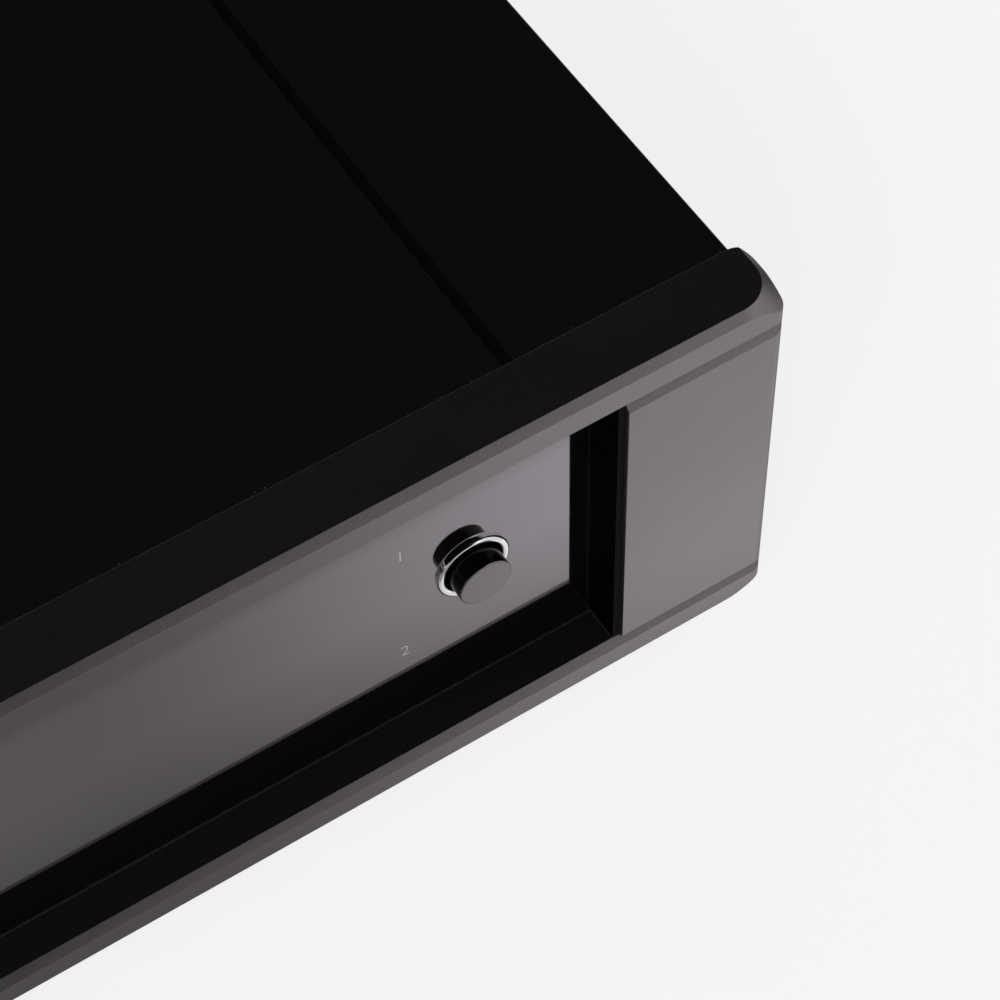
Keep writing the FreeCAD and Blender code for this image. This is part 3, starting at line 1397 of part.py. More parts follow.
def heat_sink():
    """Extruded heat sink with fins to the rear."""
    left = f"({SINK_X} - sink_width / 2)"
    parts = [box("SinkBack", left, SINK_Y, BOARD_TOP, "sink_width", "sink_base", "sink_height")]
    for index in range(int(value("fin_count"))):
        x = f"{left} + {index} * (sink_width - fin_thickness) / (fin_count - 1)"
        reach = "sink_base + fin_depth"
        parts.append(box("SinkFin", x, SINK_Y, BOARD_TOP, "fin_thickness", reach, "sink_height"))
    node(join("Part::MultiFuse", "HeatSink", parts), "heat_sink")


def voltage_regulators():
    """Two regulators against the heat sink, each on its legs."""
    pieces = []
    for side in SIDES:
        x = f"{SINK_X} + {signed(side, 'regulator_pitch / 2')} - regulator_width / 2"
        front = f"{SINK_Y} - regulator_depth"
        low = f"{BOARD_TOP} + regulator_rise"
        case = box("RegulatorCase", x, front, low, "regulator_width", "regulator_depth", "regulator_height")
        leg_x = f"{x} + regulator_width / 4"
        leg_y = f"{front} + regulator_depth / 3"
        wide = "regulator_width / 2"
        thick = "regulator_depth / 6"
        legs = box("RegulatorLegs", leg_x, leg_y, BOARD_TOP, wide, thick, "regulator_rise")
        pieces.append(join("Part::MultiFuse", "Regulator", [case, legs]))
    node(join("Part::Compound", "VoltageRegulators", pieces), "voltage_regulators")


def build():
    """Makes every sub-part in the order in which it is put together."""
    front_bezel()
    fascia_panel()
    panel_gasket()
    for name, side in (("power", -1), ("selector", 1)):
        button_ring(f"{name}_ring", side)
        button_cap(f"{name}_cap", side)
        push_switch(f"{name}_switch", side)
        switch_plunger(f"{name}_plunger", side)
    front_board()
    front_board_screws()
    bezel_screws()
    chassis_base()
    top_cover()
    cover_screws()
    rear_panel()
    rear_screws()
    feet()
    foot_screws()
    phono_jacks()
    jack_inserts()
    jack_contacts()
    jack_nuts()
    jack_board()
    earth_terminal()
    mains_inlet()
    inlet_pins()
    inlet_screws()
    fuse_drawer()
    fuse()
    slide_switches()
    main_board()
    board_standoffs()
    board_screws()
    transformer()
    filter_capacitors()
    film_capacitors()
    amplifier_chips()
    input_relays()
    heat_sink()
    voltage_regulators()
    doc.recompute()


def check_and_export():
    """Stops on any failed object, then writes one file for each sub-part."""
    for thing in doc.Objects:
        if "Invalid" in thing.State or "Error" in thing.State:
            raise RuntimeError(f"{thing.Label}: {thing.State}")
    labels = [thing.Label for thing in NODES]
    if len(set(labels)) != len(labels):
        raise RuntimeError("two sub-parts share a name")
    for thing in NODES:
        if thing.Shape.isNull() or not thing.Shape.isValid():
            raise RuntimeError(f"{thing.Label}: shape is not valid")
    os.makedirs("parts", exist_ok=True)
    for thing in NODES:
        thing.Shape.exportStep(f"parts/{thing.Label}.step")
        print(f"{thing.Label}: {len(thing.Shape.Solids)} solids, {thing.Shape.Volume:.1f} mm3")


build()
check_and_export()
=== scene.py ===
"""Phono preamp: finishes, fine parts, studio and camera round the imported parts."""
import math

import bmesh
import bpy
from bpy.props import FloatProperty, FloatVectorProperty, PointerProperty, StringProperty
from bpy.types import Operator, Panel, PropertyGroup
from mathutils import Matrix, Vector


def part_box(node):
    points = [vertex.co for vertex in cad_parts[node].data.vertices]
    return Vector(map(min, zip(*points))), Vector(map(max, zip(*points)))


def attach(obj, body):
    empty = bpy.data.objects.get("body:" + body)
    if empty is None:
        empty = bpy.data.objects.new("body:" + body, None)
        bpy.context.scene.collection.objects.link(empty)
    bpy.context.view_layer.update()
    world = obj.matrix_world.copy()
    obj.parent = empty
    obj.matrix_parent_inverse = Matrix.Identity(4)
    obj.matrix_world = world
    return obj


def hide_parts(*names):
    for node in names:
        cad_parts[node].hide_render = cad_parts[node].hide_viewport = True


bl_info = {
    "name": "Phono Preamp",
    "version": (1, 0, 0),
    "blender": (4, 5, 0),
    "location": "View3D > Sidebar > Phono Preamp",
    "description": "Finishes, fine parts, studio and camera of a half-width phono preamp",
    "category": "Add Mesh",
}

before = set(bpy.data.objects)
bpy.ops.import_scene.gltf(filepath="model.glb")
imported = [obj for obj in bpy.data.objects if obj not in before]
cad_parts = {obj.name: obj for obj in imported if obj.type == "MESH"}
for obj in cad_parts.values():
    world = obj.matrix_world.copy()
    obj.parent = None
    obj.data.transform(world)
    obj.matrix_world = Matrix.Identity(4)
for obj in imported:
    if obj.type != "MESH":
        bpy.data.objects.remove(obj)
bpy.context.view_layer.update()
MM = 0.001
FULL_TURN = 2 * math.pi
SOFT_EDGE = 0.12 * MM
MERGE = 1e-7


def corners(node):
    """Lowest and highest corners of a CAD part at rest."""
    low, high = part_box(node)
    return Vector(low), Vector(high)


def middle(node):
    """Middle of a CAD part's box at rest."""
    low, high = corners(node)
    return (low + high) / 2


PANEL_LOW, PANEL_HIGH = corners("fascia_panel")
BEZEL_LOW, BEZEL_HIGH = corners("front_bezel")
COVER_LOW, COVER_HIGH = corners("top_cover")
PANEL_FACE = PANEL_LOW.y
LIP_FACE = BEZEL_LOW.y
SEAM = BEZEL_HIGH.y
REAR_FACE = corners("rear_panel")[1].y

# How far the panel reaches behind each edge of the window, less its play in the rebate.
PANEL_OVERLAP = (3 - 0.2) * MM
WINDOW_LOW = PANEL_LOW.z + PANEL_OVERLAP
WINDOW_HIGH = PANEL_HIGH.z - PANEL_OVERLAP
WINDOW_HALF = PANEL_HIGH.x - PANEL_OVERLAP

# Rings and buttons.
RING_WALL = 1.25 * MM
SLEEVE_WALL = 0.75 * MM
CAP_FLANGE = 1.1 * MM
FLANGE_THICKNESS = 0.9 * MM
STEM_LENGTH = 1.2 * MM
STEM_RADIUS = 2.4 * MM
ROUND_STEPS = 128

# Printed numbers: middle across and up, and thickness of the ink.
UPPER_MARK_PLACE = (0.0462, 0.0561)
LOWER_MARK_PLACE = (0.0458, 0.0307)
INK_THICKNESS = 0.012 * MM

# Cross recess: arms as a share of the flat top, and its floor as a share of its mouth.
CROSS_REACH = 0.85
CROSS_TAPER = 0.6
SHANK_TIP = 0.4 * MM

# Earth terminal's thread: steps in a turn, and tooth heights and widths as shares of the pitch.
THREAD_STEPS = 32
TOOTH_HEIGHT = 0.6
TOOTH_FOOT = 0.46
TOOTH_CREST = 0.06
TOOTH_SINK = 0.05 * MM
TIP_CHAMFER = 0.3 * MM

# What the object mirrors, as stops of (direction, level) for the world.
WORLD_RIGHT = ((0.22, 0.0), (0.44, 1.0), (0.60, 0.55))
WORLD_FRONT = ((-0.30, 1.0), (0.0, 0.0))
WORLD_HEIGHT = ((0.52, 1.0), (0.68, 0.0))
WORLD_LEFT = ((-0.70, 1.0), (-0.50, 0.0))
LEFT_STRIP = ((0.08, 0.0), (0.11, 0.58), (0.17, 0.58), (0.20, 0.0))
WORLD_REAR = ((0.70, 0.0), (0.92, 0.45))
REAR_STRIP = ((0.04, 0.0), (0.14, 1.0), (0.22, 1.0), (0.34, 0.0))
WORLD_AHEAD = ((-0.95, 0.7), (-0.85, 0.0))
AHEAD_STRIP = ((0.04, 1.0), (0.14, 0.0))

# The same for the floor, as stops of (metres, level), and as smooth runs between two places.
FLOOR_FAR = ((-0.8, 1.0), (-0.4, 0.0))
FLOOR_FRONT = (
    (-0.163, 0.62), (-0.1575, 0.52), (-0.1540, 0.80), (-0.1515, 0.97), (-0.141, 1.0),
    (-0.132, 0.85), (-0.120, 0.5), (-0.10, 0.5), (-0.05, 1.0),
)
NEAREST_FLOOR = -0.175
FLOOR_RIGHT = (0.0, 0.12)
FLOOR_LEFT = (-0.25, 0.0, 0.2, 1.0)
FLOOR_BESIDE = (0.17, 0.30, 0.0, 0.9)
FLOOR_BEHIND = (-0.12, -0.02, 0.0, 1.0)


class Finish:
    """One material: its shader and the textures that feed it."""

    def __init__(self, name, colour, roughness, metallic=0.0, ior=1.5):
        self.material = bpy.data.materials.new(name)
        self.material.use_nodes = True
        self.material.diffuse_color = (*colour, 1)
        self.tree = self.material.node_tree
        self.tree.nodes.clear()
        self.shader = self.node("ShaderNodeBsdfPrincipled")
        self.ground = colour
        self.put("Base Color", (*colour, 1))
        self.put("Roughness", roughness)
        self.put("Metallic", metallic)
        self.put("IOR", ior)
        self.output = self.node("ShaderNodeOutputMaterial")
        self.link(self.shader.outputs["BSDF"], self.output.inputs["Surface"])
        self.space = self.node("ShaderNodeTexCoord").outputs["Object"]
        self.colour_source = None
        self.normal_source = None

    def node(self, kind, **settings):
        """New node with its settings."""
        made = self.tree.nodes.new(kind)
        for key, setting in settings.items():
            setattr(made, key, setting)
        return made

    def link(self, source, target):
        """Wire between two sockets."""
        self.tree.links.new(source, target)

    def put(self, socket, number):
        """Constant on one of the shader's own sockets."""
        self.shader.inputs[socket].default_value = number

    def stretched(self, stretch):
        """Object coordinates scaled along each axis."""
        mapping = self.node("ShaderNodeMapping")
        mapping.inputs["Scale"].default_value = stretch
        self.link(self.space, mapping.inputs["Vector"])
        return mapping.outputs["Vector"]

    def noise(self, size, detail=2.0, stretch=None):
        """Noise whose lumps are about one size, in metres."""
        made = self.node("ShaderNodeTexNoise")
        made.inputs["Scale"].default_value = 1 / size
        made.inputs["Detail"].default_value = detail
        self.link(self.stretched(stretch) if stretch else self.space, made.inputs["Vector"])
        return made.outputs["Fac"]

    def cells(self, size, stretch=None):
        """Distance to scattered points that lie about one size apart, in metres."""
        made = self.node("ShaderNodeTexVoronoi")
        made.inputs["Scale"].default_value = 1 / size
        self.link(self.stretched(stretch) if stretch else self.space, made.inputs["Vector"])
        return made.outputs["Distance"]

    def axis(self, name):
        """One object coordinate."""
        parts = self.node("ShaderNodeSeparateXYZ")
        self.link(self.space, parts.inputs["Vector"])
        return parts.outputs[name]

    def fade(self, source, start, end, low=0.0, high=1.0):
        """Source carried smoothly from one range to another."""
        return smooth_run(self.tree, source, start, end, low, high)

    def sums(self, operation, first, second=None):
        """Arithmetic on two sockets, or on a socket and a number."""
        return combine(self.tree, operation, first, second)

    def near(self, name, place, reach):
        """1 on a plane square to an axis, fading to 0 within a reach of it."""
        away = self.sums("ABSOLUTE", self.sums("SUBTRACT", self.axis(name), place))
        return self.fade(away, reach, 0.0)

    def tint(self, factor, colour):
        """Second colour laid over the first where the factor is high."""
        mix = self.node("ShaderNodeMix", data_type="RGBA")
        self.link(factor, mix.inputs["Factor"])
        if self.colour_source:
            self.link(self.colour_source, mix.inputs["A"])
        else:
            mix.inputs["A"].default_value = (*self.ground, 1)
        mix.inputs["B"].default_value = (*colour, 1)
        self.colour_source = mix.outputs["Result"]
        self.link(self.colour_source, self.shader.inputs["Base Color"])
        return self

    def tint_by(self, factor, share):
        """Same colour made a share lighter where the factor is high."""
        return self.tint(factor, tuple(min(1.0, channel * (1 + share)) for channel in self.ground))

    def vary(self, socket, factor, low, high):
        """Shader value that swings between two numbers with the factor."""
        self.link(self.fade(factor, 0.3, 0.7, low, high), self.shader.inputs[socket])
        return self

    def soften(self, radius=SOFT_EDGE):
        """Edges that catch the light as if slightly rounded."""
        made = self.node("ShaderNodeBevel", samples=6)
        made.inputs["Radius"].default_value = radius
        self.normal_source = made.outputs["Normal"]
        self.link(self.normal_source, self.shader.inputs["Normal"])
        return self

    def relief(self, height, depth):
        """Bump of a real depth, in metres."""
        made = self.node("ShaderNodeBump")
        made.inputs["Strength"].default_value = 1.0
        made.inputs["Distance"].default_value = depth
        self.link(height, made.inputs["Height"])
        if self.normal_source:
            self.link(self.normal_source, made.inputs["Normal"])
        self.normal_source = made.outputs["Normal"]
        self.link(self.normal_source, self.shader.inputs["Normal"])
        return self


def powder_coat(name, colour, roughness, ior, grain=0.22 * MM, depth=0.004 * MM):
    """Fine black coat on machined or folded metal."""
    coat = Finish(name, colour, roughness, ior=ior).soften()
    fine = coat.noise(grain, 3.0)
    coat.relief(fine, depth)
    coat.tint_by(coat.fade(fine, 0.55, 0.75), 0.6)
    coat.vary("Roughness", coat.noise(9 * MM), roughness * 0.98, roughness * 1.02)
    return coat


def moulded(name, colour, roughness=0.42, grain=0.3 * MM, depth=0.006 * MM):
    """Moulded plastic with a fine spark texture."""
    plastic = Finish(name, colour, roughness).soften()
    fine = plastic.noise(grain, 3.0)
    plastic.relief(fine, depth)
    plastic.tint_by(plastic.noise(4 * MM), 0.18)
    plastic.vary("Roughness", fine, roughness * 0.85, roughness * 1.15)
    return plastic


def glossy(name, colour, roughness=0.3):
    """Smooth plastic with faint flow marks."""
    plastic = Finish(name, colour, roughness).soften()
    plastic.relief(plastic.noise(3 * MM, 1.0), 0.004 * MM)
    plastic.tint_by(plastic.noise(1.5 * MM, 4.0), 0.15)
    plastic.vary("Roughness", plastic.noise(0.8 * MM, 3.0), roughness * 0.8, roughness * 1.3)
    return plastic


def plated(name, colour, roughness=0.18, wear=0.3 * MM):
    """Plated metal with faint turning lines and slight tarnish."""
    metal = Finish(name, colour, roughness, metallic=1.0).soften(SOFT_EDGE / 2)
    lines = metal.noise(wear, 2.0, (1, 12, 1))
    metal.relief(lines, 0.0012 * MM)
    metal.tint(metal.fade(metal.noise(2.5 * MM, 4.0), 0.45, 0.8), tuple(0.82 * c for c in colour))
    metal.vary("Roughness", lines, roughness * 0.7, roughness * 1.4)
    return metal


def dress(finish, *nodes):
    """Gives CAD parts a finish through their material slots."""
    for node in nodes:
        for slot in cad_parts[node].material_slots:
            slot.material = finish.material


def add_piece(name, mesh_data, finish, body, replaced=(), crease=35, flank=None):
    """New piece from an open bmesh, riding on a body; a flank finish covers all but its front."""
    mesh = bpy.data.meshes.new(name)
    mesh_data.to_mesh(mesh)
    mesh_data.free()
    for face in mesh.polygons:
        face.use_smooth = True
    mesh.set_sharp_from_angle(angle=math.radians(crease))
    mesh.materials.append(finish.material)
    if flank:
        mesh.materials.append(flank.material)
        for face in mesh.polygons:
            face.material_index = 0 if face.normal.y < -0.6 else 1
    piece = bpy.data.objects.new(name, mesh)
    bpy.context.scene.collection.objects.link(piece)
    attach(piece, body)
    if replaced:
        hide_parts(*replaced)
    return piece


def chain(bm, places, closed):
    """Vertices at places, with edges that join them in order."""
    points = [bm.verts.new(place) for place in places]
    ends = points[1:] + points[:1] if closed else points[1:]
    return points, [bm.edges.new(pair) for pair in zip(points, ends)]


def verts_of(made):
    """Vertices among what a bmesh operator made."""
    return [item for item in made["geom"] if isinstance(item, bmesh.types.BMVert)]


def put(bm, turn, place):
    """Turns everything about the origin, then moves it to a place."""
    bmesh.ops.rotate(bm, cent=(0, 0, 0), matrix=turn, verts=bm.verts)
    bmesh.ops.translate(bm, vec=place, verts=bm.verts)


def lathe(bm, outline, centre, steps):
    """Turns an outline of (radius, place along Y) into a closed solid."""
    places = [Vector(centre) + Vector((radius, reach, 0)) for radius, reach in outline]
    points, edges = chain(bm, places, outline[0][0] > 0)
    bmesh.ops.spin(
        bm, geom=points + edges, cent=centre, axis=(0, 1, 0), dvec=(0, 0, 0), angle=FULL_TURN,
        steps=steps, use_merge=True, use_duplicate=False,
    )
    bmesh.ops.remove_doubles(bm, verts=bm.verts, dist=MERGE)
    bmesh.ops.recalc_face_normals(bm, faces=bm.faces)


def solids_of(node):
    """Boxes of the separate solids of a CAD part, from low X to high."""
    bm = bmesh.new()
    bm.from_mesh(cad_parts[node].data)
    bmesh.ops.remove_doubles(bm, verts=bm.verts, dist=1e-6)
    left = set(bm.verts)
    boxes = []
    while left:
        group = [left.pop()]
        for vert in group:
            for edge in vert.link_edges:
                other = edge.other_vert(vert)
                if other in left:
                    left.remove(other)
                    group.append(other)
        places = [vert.co for vert in group]
        boxes.append([
            Vector([pick(place[i] for place in places) for i in range(3)]) for pick in (min, max)
        ])
    bm.free()
    return sorted(boxes, key=lambda box: tuple(box[0]))


def screw(place, way, look, length):
    """Pan head with a cross recess, its head's top at a place and facing a way."""
    flat = look.head_radius - 2 * look.head_rounding
    outline = [
        (flat, 0), (look.head_radius, 0), (look.head_radius, -look.head_height),
        (look.shank_radius, -look.head_height), (look.shank_radius, SHANK_TIP - length),
        (look.shank_radius - SHANK_TIP, -length), (0, -length),
    ]
    outline = rounded(outline, {1: look.head_rounding}, 5)
    bm = bmesh.new()
    points, edges = chain(bm, [(radius, 0, height) for radius, height in outline], False)
    bmesh.ops.spin(
        bm, geom=points + edges, cent=(0, 0, 0), axis=(0, 0, 1), dvec=(0, 0, 0), angle=FULL_TURN,
        steps=40, use_merge=True, use_duplicate=False,
    )
    bmesh.ops.remove_doubles(bm, verts=bm.verts, dist=MERGE)
    rim = [edge for edge in bm.edges if edge.is_boundary]
    wing, reach = look.recess_width / 2, flat * CROSS_REACH
    cross = [
        (wing, wing), (reach, wing), (reach, -wing), (wing, -wing), (wing, -reach), (-wing, -reach),
        (-wing, -wing), (-reach, -wing), (-reach, wing), (-wing, wing), (-wing, reach), (wing, reach),
    ]
    edges = chain(bm, [(*pair, 0) for pair in cross], True)[1]
    bmesh.ops.triangle_fill(
        bm, use_beauty=True, use_dissolve=False, edges=rim + edges, normal=(0, 0, 1),
    )
    low = verts_of(bmesh.ops.extrude_edge_only(bm, edges=edges))
    bmesh.ops.translate(bm, vec=(0, 0, -look.recess_depth), verts=low)
    bmesh.ops.scale(bm, vec=(CROSS_TAPER, CROSS_TAPER, 1), verts=low)
    bmesh.ops.holes_fill(bm, edges=[edge for edge in bm.edges if edge.is_boundary], sides=12)
    bmesh.ops.recalc_face_normals(bm, faces=bm.faces)
    put(bm, Vector((0, 0, 1)).rotation_difference(way).to_matrix(), place)
    return bm


def add_screws(name, node, axis, sign, finish, look):
    """Screws in place of a CAD part's plain ones, with heads facing one way along an axis."""
    bm = bmesh.new()
    for low, high in solids_of(node):
        hand = sign or (1 if low[axis] > 0 else -1)
        way = Vector([hand if index == axis else 0 for index in range(3)])
        place = (low + high) / 2
        place[axis] = high[axis] if hand > 0 else low[axis]
        single = screw(place, way, look, high[axis] - low[axis])
        kept = bpy.data.meshes.new("single_screw")
        single.to_mesh(kept)
        single.free()
        bm.from_mesh(kept)
        bpy.data.meshes.remove(kept)
    add_piece(name, bm, finish, "case", (node,), 30)


def rounded(outline, wanted, steps):
    """Outline with arcs in place of chosen corners, given as {corner: radius}."""
    result = []
    for index, point in enumerate(outline):
        if index not in wanted:
            result.append(point)
            continue
        here = Vector(point)
        before = (Vector(outline[index - 1]) - here).normalized()
        after = (Vector(outline[(index + 1) % len(outline)]) - here).normalized()
        half = before.angle(after) / 2
        reach = wanted[index] / math.tan(half)
        hub = here + (before + after).normalized() * (wanted[index] / math.sin(half))
        first = here + before * reach - hub
        turn = first.angle_signed(here + after * reach - hub)
        for step in range(steps + 1):
            arm = first.copy()
            arm.rotate(Matrix.Rotation(-turn * step / steps, 2))
            result.append(tuple(hub + arm))
    return result


def colour_of(name, description, default):
    """Colour that the sidebar offers."""
    return FloatVectorProperty(
        name=name, description=description, default=default, size=3, min=0.0, max=1.0, subtype="COLOR",
    )


def length_of(name, description, default, low, high):
    """Length that the sidebar offers, in metres."""
    return FloatProperty(
        name=name, description=description, default=default, min=low, max=high, precision=5,
        subtype="DISTANCE", unit="LENGTH",
    )


def share_of(name, description, default):
    """Share from 0 to 1 that the sidebar offers."""
    return FloatProperty(
        name=name, description=description, default=default, min=0.0, max=1.0, subtype="FACTOR",
    )


def power_of(name, description, default):
    """Power of a lamp that the sidebar offers, in watts."""
    return FloatProperty(name=name, description=description, default=default, min=0.0, unit="POWER")


class StageLook(PropertyGroup):
    """Floor, light and camera."""

    floor_radius: FloatProperty(
        name="Floor radius", description="Radius of the plain floor", default=9.0, min=1.0,
        subtype="DISTANCE", unit="LENGTH",
    )
    floor_colour: colour_of(
        "Floor colour", "Colour of the floor and the far background", (0.922, 0.922, 0.914),
    )
    floor_shadow: share_of("Shadow share", "How much of the floor's look comes from the lamps", 0.12)
    left_shade: share_of("Left shade", "How bright the floor at the left is in reflections", 0.33)
    near_shade: share_of("Near shade", "How bright the floor in front is in reflections", 0.70)
    front_glow: FloatProperty(
        name="Front glow", description="Brightness of the studio in front, in reflections",
        default=1.25, min=0.0, max=5.0,
    )
    rear_glow: FloatProperty(
        name="Rear glow", description="Brightness of the studio above and behind, in reflections",
        default=0.002, min=0.0, max=1.0,
    )
    fill_glow: FloatProperty(
        name="Fill", description="Even light from all round", default=0.4, min=0.0, max=1.0,
    )
    key_power: power_of("Key lamp", "Power of the soft lamp at the front left", 24.0)
    side_power: power_of("Side lamp", "Power of the soft lamp at the right", 12.0)
    rear_power: power_of("Rear lamp", "Power of the soft lamp at the rear left", 12.0)
    camera_place: FloatVectorProperty(
        name="Camera place", description="Where the camera stands", size=3,
        default=(-0.06634998, -0.32973769, 0.42059110), precision=5, subtype="XYZ", unit="LENGTH",
    )
    camera_turn: FloatVectorProperty(
        name="Camera turn", description="How the camera is turned", size=3,
        default=tuple(math.radians(angle) for angle in (34.53342972, 0.94062702, -32.54847709)),
        subtype="EULER", unit="ROTATION",
    )
    focal_length: FloatProperty(
        name="Focal length", description="Focal length of the camera, in millimetres",
        default=109.18887506, min=10.0, subtype="DISTANCE_CAMERA",
    )


class FrontLook(PropertyGroup):
    """Bezel, panel and buttons."""

    bezel_colour: colour_of("Bezel colour", "Coat of the front bezel", (0.0008, 0.0007, 0.0008))
    grain_colour: colour_of(
        "Grain colour", "Fine grain in the coat of the bezel's front faces", (0.022, 0.021, 0.022),
    )
    bezel_roughness: share_of("Bezel roughness", "Roughness of the bezel's coat", 0.38)
    panel_colour: colour_of("Panel colour", "Glossy panel in the window", (0.0020, 0.0020, 0.0022))
    lining_colour: colour_of("Lining colour", "Black lining of the window", (0.0010, 0.0010, 0.0010))
    # Painted light with fine dust: the lower wall is made lighter, as if lit from above.
    lit_dust_colour: colour_of(
        "Lit dusty lining", "Lower wall of the lining, under fine dust", (0.0060, 0.0060, 0.0061),
    )
    # Painted light: the forward face of each ledge is made lighter, as if lit from the front.
    lit_ledge_colour: colour_of(
        "Ledge colour", "Front edge of the lining beside each end block", (0.0098, 0.0094, 0.0098),
    )
    speck_colour: colour_of(
        "Speck colour", "Dust in the lining's seam and mitres", (0.050, 0.051, 0.053),
    )
    lining_wall: length_of("Lining wall", "Thickness of the lining", 0.1 * MM, 0.05 * MM, 0.5 * MM)
    ledge_depth: length_of(
        "Ledge depth", "Lips to the ledge beside each end block", 1.3 * MM, 0.5 * MM, 3 * MM,
    )
    ledge_width: length_of(
        "Ledge width", "Width of the ledge beside each end block", 1.0 * MM, 0.2 * MM, 3 * MM,
    )
    mark_colour: colour_of("Mark colour", "Printed numbers beside the selector", (0.37, 0.37, 0.38))
    mark_height: length_of("Mark height", "Height of the printed numbers", 2.5 * MM, 0.5 * MM, 5 * MM)
    upper_mark: StringProperty(
        name="Upper mark", description="Number above, for the first setting", default="1",
    )
    lower_mark: StringProperty(
        name="Lower mark", description="Number below, for the second setting", default="2",
    )
    ring_rounding: length_of(
        "Ring rounding", "Rounded front of the chrome rings", 0.52 * MM, 0.1 * MM, 0.6 * MM,
    )
    cap_rounding: length_of("Button rounding", "Rim of each button", 0.3 * MM, 0.1 * MM, 1 * MM)


class CaseLook(PropertyGroup):
    """Cover, tray, feet and screws."""

    cover_colour: colour_of("Cover colour", "Coat of the top cover", (0.0024, 0.0024, 0.0025))
    cover_roughness: share_of("Cover roughness", "Roughness of the cover's coat", 0.30)
    tray_colour: colour_of(
        "Tray colour", "Coat of the base tray and rear panel", (0.012, 0.012, 0.0125),
    )
    foot_colour: colour_of("Foot colour", "Rubber of the feet", (0.015, 0.015, 0.015))


class ScrewLook(PropertyGroup):
    """Heads of the visible screws."""

    head_radius: length_of("Head radius", "Radius of each head", 2.75 * MM, 1 * MM, 5 * MM)
    head_height: length_of("Head height", "Height of each head", 1.8 * MM, 0.5 * MM, 4 * MM)
    head_rounding: length_of("Head rounding", "Rounded rim of each head", 0.55 * MM, 0.1 * MM, 1 * MM)
    shank_radius: length_of("Shank radius", "Radius of each shank", 1.45 * MM, 0.5 * MM, 3 * MM)
    recess_width: length_of(
        "Recess width", "Width of each arm of the cross", 0.62 * MM, 0.2 * MM, 2 * MM,
    )
    recess_depth: length_of("Recess depth", "Depth of the cross", 0.9 * MM, 0.2 * MM, 1.5 * MM)


class RearLook(PropertyGroup):
    """Sockets, switches and terminal at the back."""

    gold_colour: colour_of("Gold plating", "Jacks and earth terminal", (0.86, 0.60, 0.25))
    right_colour: colour_of("Right channel", "Insulators of the right channel", (0.55, 0.02, 0.02))
    left_colour: colour_of("Left channel", "Insulators of the left channel", (0.78, 0.78, 0.75))
    plastic_colour: colour_of("Black plastic", "Mains inlet and switches", (0.014, 0.014, 0.015))
    post_radius: length_of(
        "Post radius", "Outside radius of the earth terminal's thread", 1.95 * MM, 1 * MM, 3 * MM,
    )
    collar_thickness: length_of(
        "Collar thickness", "Collar of the earth terminal", 1.5 * MM, 0.5 * MM, 4 * MM,
    )
    thread_pitch: length_of(
        "Thread pitch", "Pitch of the earth terminal's thread", 0.7 * MM, 0.3 * MM, 1.5 * MM,
    )


class InsideLook(PropertyGroup):
    """Boards, transformer and parts."""

    board_colour: colour_of("Solder mask", "Circuit boards", (0.012, 0.10, 0.045))
    tape_colour: colour_of("Winding tape", "Tape round the transformer", (0.50, 0.32, 0.08))
    zinc_colour: colour_of("Zinc plating", "Screws and plates inside", (0.62, 0.62, 0.64))
    relay_colour: colour_of("Relay colour", "Input relays", (0.05, 0.12, 0.36))


def curve(tree, source, stops):
    """Level that follows straight runs between (place, level) stops."""
    start, end = stops[0][0], stops[-1][0]
    unit = tree.nodes.new("ShaderNodeMapRange")
    unit.inputs["From Min"].default_value = start
    unit.inputs["From Max"].default_value = end
    tree.links.new(source, unit.inputs["Value"])
    made = tree.nodes.new("ShaderNodeValToRGB")
    marks = made.color_ramp.elements
    while len(marks) < len(stops):
        marks.new(0.5)
    for mark, (place, level) in zip(marks, stops):
        mark.position = (place - start) / (end - start)
        mark.color = (level, level, level, 1)
    tree.links.new(unit.outputs["Result"], made.inputs["Fac"])
    return made.outputs["Color"]


def smooth_run(tree, source, start, end, low=0.0, high=1.0):
    """Source carried smoothly from one range to another."""
    made = tree.nodes.new("ShaderNodeMapRange")
    made.interpolation_type = "SMOOTHSTEP"
    for socket, number in (("From Min", start), ("From Max", end), ("To Min", low), ("To Max", high)):
        made.inputs[socket].default_value = number
    tree.links.new(source, made.inputs["Value"])
    return made.outputs["Result"]


def combine(tree, operation, first, second=None):
    """Arithmetic on two sockets, or on a socket and a number."""
    made = tree.nodes.new("ShaderNodeMath")
    made.operation = operation
    for socket, source in zip(made.inputs, (first, second)):
        if isinstance(source, (int, float)):
            socket.default_value = source
        elif source is not None:
            tree.links.new(source, socket)
    return made.outputs["Value"]


def blend_level(tree, factor, first, second):
    """First level where the factor is 0, second where it is 1."""
    made = tree.nodes.new("ShaderNodeMix")
    for name, source in (("Factor", factor), ("A", first), ("B", second)):
        if isinstance(source, float):
            made.inputs[name].default_value = source
        else:
            tree.links.new(source, made.inputs[name])
    return made.outputs["Result"]


